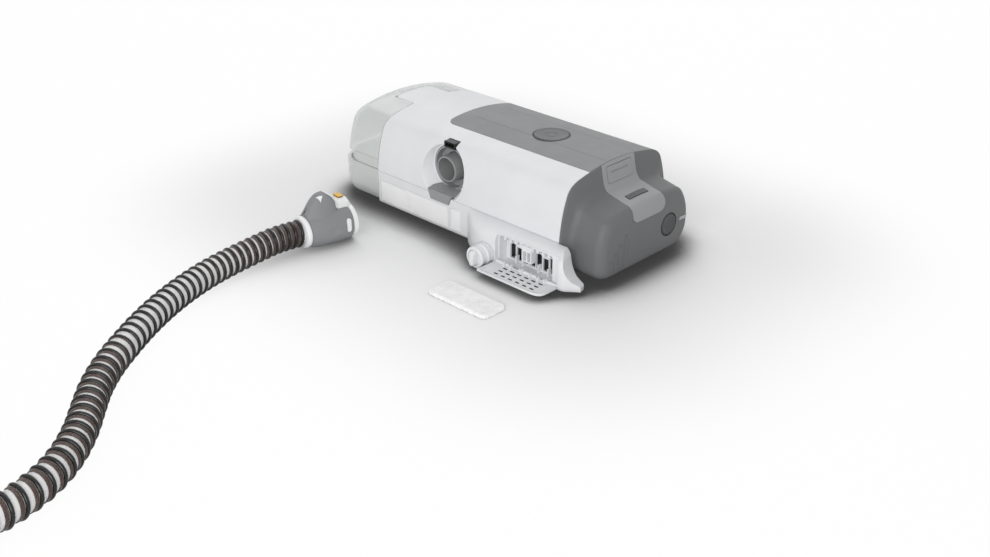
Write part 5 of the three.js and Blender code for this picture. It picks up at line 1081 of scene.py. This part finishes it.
# Filter bay, its door and pad, oxygen cap
def filter_door():
    """Slotted door that lies open: a plate with a lip, a barrel on the pin and two catches."""
    x0, x1 = DOOR_X
    hinge_y, hinge_z = DOOR_HINGE
    low = hinge_z - 1.3
    top = low + DOOR_T
    out_y = hinge_y - DOOR_L
    plan = rounded_loop(x0, x1, out_y, hinge_y, [2.0, 9.0, 0.3, 0.3])
    under = eased([(hinge_y + 1, low), (out_y + 8, low), (out_y + 3, low + 0.5), (out_y - 1, low + 1.9)])
    over = eased([(out_y - 1, top + 1.6), (out_y + 3, top + 0.4), (out_y + 8, top), (hinge_y + 1, top)])
    door = limit(prism(Z, plan, low - 1, top + 5), prism(X, under + over, x0 - 1, x1 + 1))
    inner = rounded_loop(x0 + 2.2, x1 - 2.2, out_y + 2, hinge_y - 1.6, [1.5, 7.0, 1.0, 1.0])
    door = cut(door, prism(Z, inner, top - 0.5, top + 5))
    middle = (x0 + x1) / 2 + 1.7
    slots = []
    for row in range(3):
        y = hinge_y - 6 - row * DOOR_ROW_PITCH
        for k in range(6):
            x = middle + (k - 2.5) * DOOR_SLOT_PITCH
            slots.append(prism(Z, rounded_loop(x - 2, x + 2, y - 0.8, y + 0.8, 0.5, 4), low - 1, top + 2))
    spans = ((x0, x0 + 14), (middle - 9, middle + 9), (x1 - 14, x1))
    barrels = [rod(X, DOOR_HINGE, start, end, BARREL_R, 48) for start, end in spans]
    lug = [(-1, -1), (-4.6, -1), (-3.4, 2.2), (-1.2, 2.6)]
    lugs = [
        prism(X, [(hinge_y + back, top + up) for back, up in lug], x, x + 1.4)
        for x in (x0 + 10, x0 + 17, middle - 5, middle + 3.6, x1 - 18, x1 - 11)
    ]
    door = cut(join(cut(door, *slots), *barrels, *lugs), rod(X, DOOR_HINGE, x0 - 1, x1 + 1, PIN_HOLE_R))
    door = finished(door, "bay_door", "casing_white", "filter_door", "filter_door")
    # The slots' side walls take a dark material: painted shade inside the slots.
    half = 2.5 * DOOR_SLOT_PITCH + 2.2
    slot_box = placed([(middle - half, out_y + 6, low + 0.1), (middle + half, hinge_y - 4, top - 0.55)])
    door.data.materials.append(MATERIALS["slot_shade"].material)
    for face in door.data.polygons:
        inside = all(slot_box[0][k] < face.center[k] < slot_box[1][k] for k in range(3))
        if inside and abs(face.normal.z) < 0.3:
            face.material_index = 1
    return door


def filter_grid():
    """Back wall of the bay: teeth along its ceiling, a latch block, and the open slots for the air."""
    x0, x1, z0, z1 = BAY[0] + GAP, BAY[1] - GAP, BAY[2] + GAP, BAY[3] - GAP
    wall_y, back_y = -4.2, -2.5
    face_y = wall_y + 0.2
    middle = (x0 + x1) / 2
    slots = []
    for k in range(7):
        x = x0 + 4.0 + k * (x1 - x0 - 6.5) / 7
        slots.append(box(x, x + 5.8, wall_y - 1, back_y + 1, z0 + 1.6, z0 + (12.5 if k % 2 else 14.5)))
    teeth = [
        box(x0 + 3 + k * 5.6, x0 + 5.6 + k * 5.6, -10.5, face_y, z1 - 3.2 - 0.9 * (k % 2), z1)
        for k in range(9)
    ]
    ledge = box(x0, x1, -8.6, face_y, z1 - 1.6, z1)
    holes = [
        box(middle + near, middle + near + 2.9, -12, wall_y - 1, z0 + 8.2, z1 - 6) for near in (-3.6, 0.7)
    ]
    latch = cut(box(middle - 5, middle + 5, -10.8, face_y, z0 + 7, z1 - 1), *holes)
    posts = [box(x, x + 1.6, -7.4, face_y, z0, z0 + 6.5) for x in (x0 + 12, middle - 8, middle + 8, x1 - 9)]
    # Dark sheet behind the slots: painted shade for the dark inside of the bay.
    shade_sheet = box(x0 - 0.1, x1 + 0.1, back_y + 0.05, back_y + 0.2, z0 - 0.1, z1 + 0.1)
    finished(shade_sheet, "inlet_shade_sheet", "dark_plastic", "machine")
    grid = join(cut(box(x0, x1, wall_y, back_y, z0, z1), *slots), *teeth, ledge, latch, *posts)
    return finished(grid, "inlet_grille", "casing_white", "machine", "filter_grid")


def rounded_in(x, y):
    """A point of the pad's rectangle, drawn in so that the corners come out round."""
    corner = 5.0
    middle = (PAD[0] + PAD[2] / 2, PAD[1] + PAD[3] / 2)
    off = (x - middle[0], y - middle[1])
    past = [abs(off[k]) - (PAD[2 + k] / 2 - corner) for k in range(2)]
    if min(past) <= 0:
        return x, y
    share = max(past) / math.hypot(*past)
    reach = [PAD[2 + k] / 2 - corner + past[k] * share for k in range(2)]
    return tuple(middle[k] + math.copysign(reach[k], off[k]) for k in range(2))


def filter_pad():
    """Loose fibrous pad: a slab with soft, slightly ragged edges and an uneven face."""
    x0, y0 = PAD[0], PAD[1]
    columns, rows = 132, 56
    steps = [(i / columns, j / rows) for j in range(rows + 1) for i in range(columns + 1)]
    points = []
    for upper in (0, 1):
        for u, v in steps:
            x, y = x0 + u * PAD[2], y0 + v * PAD[3]
            place = Vector((x * 0.35, y * 0.35, 5.0 * upper))
            rim = min(min(u, 1 - u) * PAD[2], min(v, 1 - v) * PAD[3])
            inset = 0.5 * (noise.noise(place * 2.1) + 0.4)
            fall = math.sqrt(max(0.0, 1 - max(0.0, 1 - rim / 1.5) ** 2))
            rise = 0.5 + (PAD[4] - 0.75) * fall + 0.22 * noise.noise(place * 3.0) * min(1.0, rim)
            z = rise if upper else 0.1
            pull = max(0.0, 1 - rim / 3.0) * inset
            x += pull * (1 if u < 0.5 else -1)
            y += pull * (1 if v < 0.5 else -1)
            points.append((*rounded_in(x, y), z))
    wide = columns + 1
    layer = wide * (rows + 1)
    faces = []
    for j in range(rows):
        for i in range(columns):
            a = j * wide + i
            faces.append((a, a + wide, a + wide + 1, a + 1))
            faces.append((layer + a, layer + a + 1, layer + a + wide + 1, layer + a + wide))
    rim = [i for i in range(columns)] + [j * wide + columns for j in range(rows)]
    rim += [rows * wide + i for i in range(columns, 0, -1)] + [j * wide for j in range(rows, 0, -1)]
    for a, b in zip(rim, rim[1:] + rim[:1]):
        faces.append((a, b, layer + b, layer + a))
    pad = solid("pad", points, faces)
    finished(pad, "fibre_pad", "filter_fibre", "filter_pad", "filter_pad", angle=80.0)


def oxygen_cap():
    """Push-on cap: a rolled rim, a thick grip bar standing in a sunk face, and a pull ear."""
    x, z = OXYGEN
    y0, y1 = OXYGEN_CAP_Y
    face_y = y0 + 3.6
    body = spun(Y, OXYGEN, [
        (OXYGEN_R - 0.3, y1), (OXYGEN_R, y1 - 0.4), (OXYGEN_R, y1 - 2.6), (OXYGEN_R - 0.7, y1 - 3.4),
        (OXYGEN_R - 0.7, face_y + 3.2), (OXYGEN_R - 0.2, face_y + 2.4), (OXYGEN_R - 0.2, face_y + 0.9),
        (OXYGEN_R - 0.9, face_y + 0.1), (OXYGEN_R - 2.0, face_y), (0.01, face_y),
    ])
    sunk = [(OXYGEN_R - 2.2, y0 - 1), (OXYGEN_R - 2.4, face_y + 1.8), (OXYGEN_R - 3.2, face_y + 2.6)]
    grip = ((2.6, 6.5, face_y + 3.4), (2.5, 6.3, y0 + 1.6), (2.1, 5.8, y0 + 0.5), (1.4, 5.0, y0))
    bar = loft([
        ring(Y, rounded_loop(x - half, x + half, z - tall, z + tall, half * 0.98), y)
        for half, tall, y in grip
    ])
    edge = x - OXYGEN_R
    ear = prism(Y, rounded_loop(edge - 2.6, x - 2, z - 4.2, z + 3.0, [3.2, 1, 1, 3.2]), y1 - 3.0, y1 - 0.4)
    ear = cut(ear, prism(Y, rounded_loop(edge - 1.5, edge + 0.6, z - 2.4, z + 1.2, 0.9, 5), y1 - 4, y1))
    bore = rod(Y, OXYGEN, y1 - 6.2, y1 + 1, OXYGEN_BORE_R)
    cap = cut(join(cut(body, spun(Y, OXYGEN, sunk)), bar, ear), bore)
    return finished(cap, "oxygen_port_cap", "casing_white", "oxygen_cap", "oxygen_cap")


# Battery pack
def pack_body(shift_x=0.0, shift_z=0.0, wall=0.0):
    """Cap with the casing's section, a concave fillet to the stepped block, and a rounded end."""
    cap = smooth_route([(run, PACK_SIDE_IN * share, drop) for run, share, drop in PACK_STATIONS], 6)
    shelf = cap[-1][2] + PACK_SHELF_FALL
    rings = [(PACK_X + run, side, drop, 4 + 4 * side / PACK_SIDE_IN, PACK_FLOOR_Z) for run, side, drop in cap]
    for turn in np.linspace(0, math.pi / 2, 10):
        inset = PACK_END_R * (1 - math.cos(turn))
        x = PACK_END_X - PACK_END_R * (1 - math.sin(turn))
        rings.append((x, PACK_SIDE_IN + 0.3 + inset, shelf + inset, 8.0, PACK_FLOOR_Z + 0.5 * inset))
    loops = []
    for x, side, drop, edge, low in rings:
        far = edge + PACK_FAR_MORE * min(1.0, side / PACK_SIDE_IN)
        loops.append(ring(X, full_loop(side + wall, drop + wall, low + wall, edge, far), x))
    return loft(np.asarray(loops, float) + (shift_x, 0, shift_z))


def inlay_region(grow):
    radii = [6.0 + grow, 6.0 + grow, 0.1, 0.1]
    loop = rounded_loop(INLAY[0] - grow, INLAY[1] + grow, INLAY[2] - grow, HEIGHT + 5, radii)
    return prism(X, loop, PACK_X - 5, PACK_END_X + 9)


def release_region(grow):
    y0, y1, z0, z1 = RELEASE
    loop = rounded_loop(y0 - grow, y1 + grow, z0 - grow, z1 + grow, 1.6 + grow)
    return prism(X, loop, PACK_X - 5, PACK_X + 20)


def window_region(grow):
    x0, x1, y0, y1 = WINDOW
    loop = rounded_loop(x0 - grow, x1 + grow, y0 - grow, y1 + grow, 0.6, 4)
    return prism(Z, loop, PACK_SHELF_Z - 12, PACK_SHELF_Z + 8)


def light_region(grow):
    y0, y1, z0, z1 = LIGHT
    return box(PACK_END_X - 4.2 - grow, PACK_END_X + 9, y0 - grow, y1 + grow, z0 - grow, z1 + grow)


def battery_case():
    hollows = [
        limit(
            box(PACK_X + 5, PACK_END_X - 2.4, PACK_SIDE_IN + inset, DEPTH - PACK_SIDE_IN - inset, 10, top),
            pack_body(wall=1.8),
        )
        for inset, top in ((5, PACK_SHELF_Z - 15), (17, PACK_SHELF_Z - 9.6))
    ]
    bars = [box(PACK_END_X - 1.5, PACK_END_X + 0.4, y, y + 2.8, 12, top) for y, top in PACK_BARS]
    case = cut(
        join(pack_body(), *bars), box(PACK_X - 1, PACK_X + 6, 16.9, 110.5, 9.7, 51.9), *hollows,
        cut(inlay_region(GAP), pack_body(-1.1, -1)), release_region(GAP),
        cut(window_region(GAP), pack_body(-2.3, -2.1)), light_region(GAP),
        rod(X, CHECK, PACK_END_X - 9, PACK_END_X + 9, CHECK_R + KEY_GAP, 128),
    )
    return finished(case, "pack_case", "pack_grey", "battery", "battery_case")


def battery_inlay():
    inlay = cut(limit(inlay_region(0), pack_body(0.5, 0.1)), pack_body(-0.8, -0.7))
    behind = box(PACK_X - 9, PACK_X + 0.2, 0, DEPTH, 0, HEIGHT + 9)
    inlay = cut(inlay, behind, release_region(GAP), window_region(GAP))
    return finished(inlay, "pack_inlay", "inlay_grey", "battery", "battery_inlay")


def release_button():
    y0, y1, z0, z1 = RELEASE
    behind = box(0, PACK_X - GAP + 1.4, 0, DEPTH, 0, HEIGHT + 9)
    button = cut(limit(release_region(0), pack_body(0.9, 0.3)), behind)
    bar_z = (z0 + z1) / 2 + 1.5
    bar = rounded_loop(y0 + 4, y1 - 4, bar_z - 0.55, bar_z + 0.55, 0.5, 4)
    key = cut(button, cut(prism(X, bar, PACK_X - 5, PACK_X + 20), pack_body(0.4, -0.1)))
    return finished(key, "pack_release_key", "inlay_grey", "battery_release", "battery_release_button")


def check_button():
    """Round key on the pack's end with a raised rim."""
    x = PACK_END_X + 0.3
    profile = [
        (CHECK_R, x - 1.9), (CHECK_R, x - 0.7), (CHECK_R - 0.3, x - 0.2), (CHECK_R - 0.8, x),
        (CHECK_R - 1.5, x), (CHECK_R - 2.1, x - 0.35), (4.0, x - 0.6), (0.01, x - 0.7),
    ]
    key = join(spun(X, CHECK, profile), rod(X, CHECK, PACK_END_X - 6.8, x - 1.6, STEM_R, 32))
    names = ("pack_check_key", "button_grey", "battery_check", "battery_check_button")
    return finished(key, *names, look="check_grey")


# Water chamber
def tub_plan(end_in, side_in):
    radii = [TUB_CORNER_R, 0.3, 0.3, TUB_CORNER_R]
    return rounded_loop(TUB_END_X + end_in, DOCK_X, side_in, DEPTH - side_in, radii, 16)


def water_tub():
    """Clear tub with a rolled foot, a rim line and the two hinge knuckles."""
    foot = [(6, 3, 0), (4.4, 2.0, 0.6), (3.0, 1.3, 1.8), (1.6, 0.7, 3.8), (0.7, 0.3, 6.4), (0.25, 0.1, 12)]
    rim = [(0.0, 3.4), (0.35, 3.0), (0.35, 2.7), (0, 2.3), (0, 0)]
    rings = [ring(Z, tub_plan(end_in, side_in), TUB_LOW_Z + up) for end_in, side_in, up in foot]
    rings += [ring(Z, tub_plan(inset, inset), TUB_RIM_Z - down) for inset, down in rim]
    wall = TUB_WALL
    corner = TUB_CORNER_R - wall
    space = rounded_loop(TUB_END_X + wall, DOCK_X - wall, wall, DEPTH - wall, [corner, 1, 1, corner], 16)
    tub = cut(
        loft(rings), prism(Z, space, 11.2, TUB_RIM_Z + 5), box(-43, 5, 12.5, DEPTH - 12.5, 0, 8.6),
        box(-39.3, -4.7, 28.7, DEPTH - 28.7, 0, 9.9),
    )
    parts = []
    for y0 in (MIDDLE_Y - 18, MIDDLE_Y + 10):
        parts.append(box(TUB_END_X + 1.5, HINGE[0] + 1.3, y0, y0 + 8, TUB_RIM_Z - 3, TUB_RIM_Z + 1.2))
        parts.append(box(HINGE[0] - 1.3, HINGE[0] + 1.3, y0, y0 + 8, TUB_RIM_Z, HINGE[1]))
        parts.append(rod(Y, HINGE, y0, y0 + 8, HINGE_R, 48))
    tub = cut(join(tub, *parts), hinge_hole())
    return finished(tub, "chamber_tub", "chamber_clear", "chamber", "water_tub")


def hinge_hole():
    return rod(Y, HINGE, MIDDLE_Y - 30, MIDDLE_Y + 30, HINGE_PIN_R, 32)


def lid_notch(grow):
    """Space of the casing's tongue in the lid."""
    return box(TONGUE[0] - 0.6 - grow, 9, TONGUE[1] - 0.5 - grow, TONGUE[2] + 0.5 + grow, 0, HEIGHT + 9)


def lid_skirt():
    """Rim under the lid that reaches down to the seal, open at the hinge."""
    outside = rounded_loop(-43.3, -0.7, 0.5, DEPTH - 0.5, [17, 0.4, 0.4, 17], 16)
    inside = rounded_loop(-42.4, 0.5, 1.4, DEPTH - 1.4, [16.1, 0.4, 0.4, 16.1], 16)
    return cut(
        prism(Z, outside, TUB_RIM_Z + 1.6, LID_LOW_Z + 0.7), prism(Z, inside, TUB_RIM_Z, LID_LOW_Z + 2),
        box(-60, -37, -5, DEPTH + 5, TUB_RIM_Z, LID_LOW_Z + 2), lid_notch(0),
    )


def tub_lid():
    """Domed clear lid, notched for the casing's tongue."""
    inside = cut(lid_body(LID_WALL, DOCK_X - LID_WALL), lid_notch(LID_WALL))
    below = box(-90, 9, -9, DEPTH + 9, 0, LID_LOW_Z)
    lid = cut(lid_body(0, DOCK_X), inside, lid_notch(0), below)
    y0, y1 = MIDDLE_Y - 9.5, MIDDLE_Y + 9.5
    stem = box(HINGE[0] - 1.3, HINGE[0] + 1.3, y0, y1, HINGE[1], LID_LOW_Z + 2)
    lid = join(lid, rod(Y, HINGE, y0, y1, HINGE_R, 48), stem)
    lid = cut(join(lid, lid_skirt()), hinge_hole())
    return finished(lid, "chamber_lid", "chamber_clear", "lid", "tub_lid")


# Outlet
def outlet_cup():
    wall = CUP_R - 1.8
    cup = turned(Y, OUTLET, [
        (OUTLET_R + 0.8, CUP_FLOOR_Y), (wall - 0.8, CUP_FLOOR_Y), (wall, CUP_FLOOR_Y - 0.8),
        (wall, CUP_RIM_Y + 0.5), (wall + 0.5, CUP_RIM_Y), (CUP_R - 0.5, CUP_RIM_Y), (CUP_R, CUP_RIM_Y + 0.5),
        (CUP_R, CUP_BACK_Y), (OUTLET_R + 0.8, CUP_BACK_Y),
    ])
    chute = cut(chute_solid(0), rod(Y, OUTLET, CUP_RIM_Y - 1, CUP_FLOOR_Y, wall, 128))
    cup = cut(join(cup, chute), rod(Y, OUTLET, 0, CUP_BACK_Y + 1, OUTLET_R + 0.8), socket_space(GAP))
    return finished(cup, "outlet_cup", "outlet_grey", "machine", "outlet_bezel", look="cup_grey")


def outlet_spigot():
    back = CUP_BACK_Y + GAP
    tip = OUTLET_TIP_Y
    spigot = turned(Y, OUTLET, [
        (OUTLET_BORE_R, tip + 0.5), (OUTLET_BORE_R + 0.4, tip), (OUTLET_R - 0.6, tip),
        (OUTLET_R - 0.1, tip + 0.6), (OUTLET_R + 0.4, back), (OUTLET_R + 3, back), (OUTLET_R + 3, back + 2),
        (OUTLET_BORE_R, back + 2),
    ])
    return finished(spigot, "air_outlet", "outlet_grey", "machine", "outlet_spigot")


def contact_socket():
    x0, x1, z0, z1 = SOCKET
    body = prism(Y, rounded_loop(x0, x1, z0, z1, 0.8, 5), SOCKET_FACE_Y, SOCKET_BACK_Y)
    slot = prism(Y, rounded_loop(x0 + 1.3, x1 - 1.3, z0 + 1.3, z1 - 1.3, 0.5, 4), 0, SOCKET_FACE_Y + 7)
    return finished(cut(body, slot), "power_socket", "dark_plastic", "machine", "contact_socket")


for make_piece in (
    top_shell, top_panel, start_button, bottom_shell, filter_door, filter_grid, filter_pad, oxygen_cap,
    battery_case, battery_inlay, release_button, check_button, water_tub, tub_lid, outlet_cup, outlet_spigot,
    contact_socket, labels, key_gap_shades,
):
    make_piece()


# CAD nodes that keep their own mesh, with the record's finishes
# The socket's contacts take the darker copy of the gold: painted shade.
OWN_LOOKS = {"charge_window": "gauge_lens", "socket_contacts": "dark_contact"}


def dress_kept_nodes():
    slots = {row["node"]: row["material_slot"] for row in frame["record"]["subparts"]}
    for name, obj in nodes.items():
        look = OWN_LOOKS.get(name, slots[name])
        if obj.hide_render or look not in MATERIALS:
            continue
        dress(obj, look)
        smooth(obj, 24.0)


dress_kept_nodes()


# Floor, backdrop colour and soft studio light
WORLD_STRENGTH = 0.42
LIGHTS = [
    ("key", (-0.7, 0.9, 1.3), (0, 0, 0.03), (1.6, 1.6), 11),
    ("right_fill", (0.9, -1.4, 0.7), (0, 0, 0.03), (1.2, 0.9), 17),
]
FOOTPRINT_MIDDLE = (0.0, 0.032)
FOOTPRINT_HALF = (0.142, 0.072)
FLOOR_FADE = (0.0, 0.24)
FLOOR_WHITE = (0.04, 0.97)
FLOOR_REACH = 6.0
FLOOR_DROP = 0.00005
CONTACT_REACH = 0.042
CONTACT_NEAR = (0.004, 0.03)
SOFT_SHADE = [(0.0, 0.05), (0.3, 0.3), (0.6, 0.75), (1.0, 0.93)]
HARD_SHADE = [(0.0, 0.01), (0.5, 0.03), (0.62, 0.09), (0.74, 0.34), (0.86, 0.8), (1.0, 0.93)]
WHITE = (1, 1, 1, 1)


def seen_directly(tree):
    """One for camera, glossy and transmission rays, so that metal and glass show the background too."""
    path = tree.nodes.new("ShaderNodeLightPath")
    total = path.outputs["Is Camera Ray"]
    for name in ("Is Glossy Ray", "Is Transmission Ray"):
        greater = add_node(tree, "Math", {0: total, 1: path.outputs[name]})
        greater.operation = "MAXIMUM"
        total = greater.outputs["Value"]
    return total


def mapped(tree, source, start, end, kind="LINEAR"):
    node = add_node(tree, "MapRange", {"Value": source})
    node.interpolation_type = kind
    for name, value in zip(("From Min", "From Max", "To Min", "To Max"), (*start, *end)):
        node.inputs[name].default_value = value
    return node.outputs["Result"]


def away_from_machine(made):
    """Share of plain white, by the distance of a floor point from the machine's footprint."""
    def vector_step(operation, source, value=None):
        node = add_node(made.tree, "VectorMath", {0: source})
        node.operation = operation
        if value:
            node.inputs[1].default_value = value
        return node.outputs["Value" if operation == "LENGTH" else "Vector"]

    off = vector_step("ABSOLUTE", vector_step("SUBTRACT", made.coords, (*FOOTPRINT_MIDDLE, 0)))
    beyond = vector_step("SUBTRACT", off, (*FOOTPRINT_HALF, 0))
    distance = vector_step("LENGTH", vector_step("MAXIMUM", beyond, (0.0001, 0.0001, 0)))
    return mapped(made.tree, distance, FLOOR_FADE, FLOOR_WHITE, "SMOOTHERSTEP"), distance


def contact_shade(made, distance):
    """Painted shade in the floor colour, by how open a point is: near black close under the machine, soft
    elsewhere.
    """
    contact = add_node(made.tree, "AmbientOcclusion", Distance=CONTACT_REACH)
    contact.samples = 16
    soft, hard = [
        made.ramp(contact.outputs["AO"], [(place, (tone, tone, tone, 1)) for place, tone in stops])
        for stops in (SOFT_SHADE, HARD_SHADE)
    ]
    near = mapped(made.tree, distance, CONTACT_NEAR, (1.0, 0.0))
    return add_node(made.tree, "MixRGB", {"Fac": near, "Color1": soft, "Color2": hard}).outputs["Color"]


def add_floor():
    """Pale floor that keeps the shadows: further from the machine it is seen as plain white."""
    floor = bpy.data.meshes.new("floor")
    corners = [(x * FLOOR_REACH, y * FLOOR_REACH, 0) for x, y in ((-1, -1), (1, -1), (1, 1), (-1, 1))]
    floor.from_pydata(corners, [], [(0, 1, 2, 3)])
    obj = bpy.data.objects.new("floor", floor)
    obj.location = (0, 0, -FLOOR_DROP)
    scene.collection.objects.link(obj)
    made = Surface("floor_white")
    tree = made.tree
    white_share, distance = away_from_machine(made)
    made.drive("Base Color", contact_shade(made, distance))
    made.bump(made.noise(300.0), 0.05, 0.00005)
    made.set(Roughness=0.8, Specular_IOR_Level=0.1)
    white = add_node(tree, "Emission", Color=WHITE, Strength=1.0)
    share = add_node(tree, "Math", {0: white_share, 1: seen_directly(tree)})
    share.operation = "MULTIPLY"
    shaders = {"Fac": share.outputs["Value"], 1: made.shader.outputs["BSDF"], 2: white.outputs["Emission"]}
    mix = add_node(tree, "MixShader", shaders)
    tree.links.new(mix.outputs["Shader"], tree.nodes["Material Output"].inputs["Surface"])
    obj.data.materials.append(made.material)


def add_world():
    """Even soft light, behind a backdrop that is seen as plain white."""
    scene.world = bpy.data.worlds.new("studio")
    scene.world.use_nodes = True
    tree = scene.world.node_tree
    light = tree.nodes["Background"]
    light.inputs["Color"].default_value = WHITE
    light.inputs["Strength"].default_value = WORLD_STRENGTH
    backdrop = add_node(tree, "Background", Color=WHITE, Strength=1.0)
    shaders = {"Fac": seen_directly(tree), 1: light.outputs["Background"], 2: backdrop.outputs["Background"]}
    mix = add_node(tree, "MixShader", shaders)
    tree.links.new(mix.outputs["Shader"], tree.nodes["World Output"].inputs["Surface"])


def add_lights():
    for name, place, target, size, power in LIGHTS:
        data = bpy.data.lights.new(name, "AREA")
        data.shape = "RECTANGLE"
        data.size, data.size_y = size
        data.energy = power
        aim(bpy.data.objects.new(name, data), place, target)


scene.view_settings.view_transform = "Standard"
add_floor()
add_world()
add_lights()
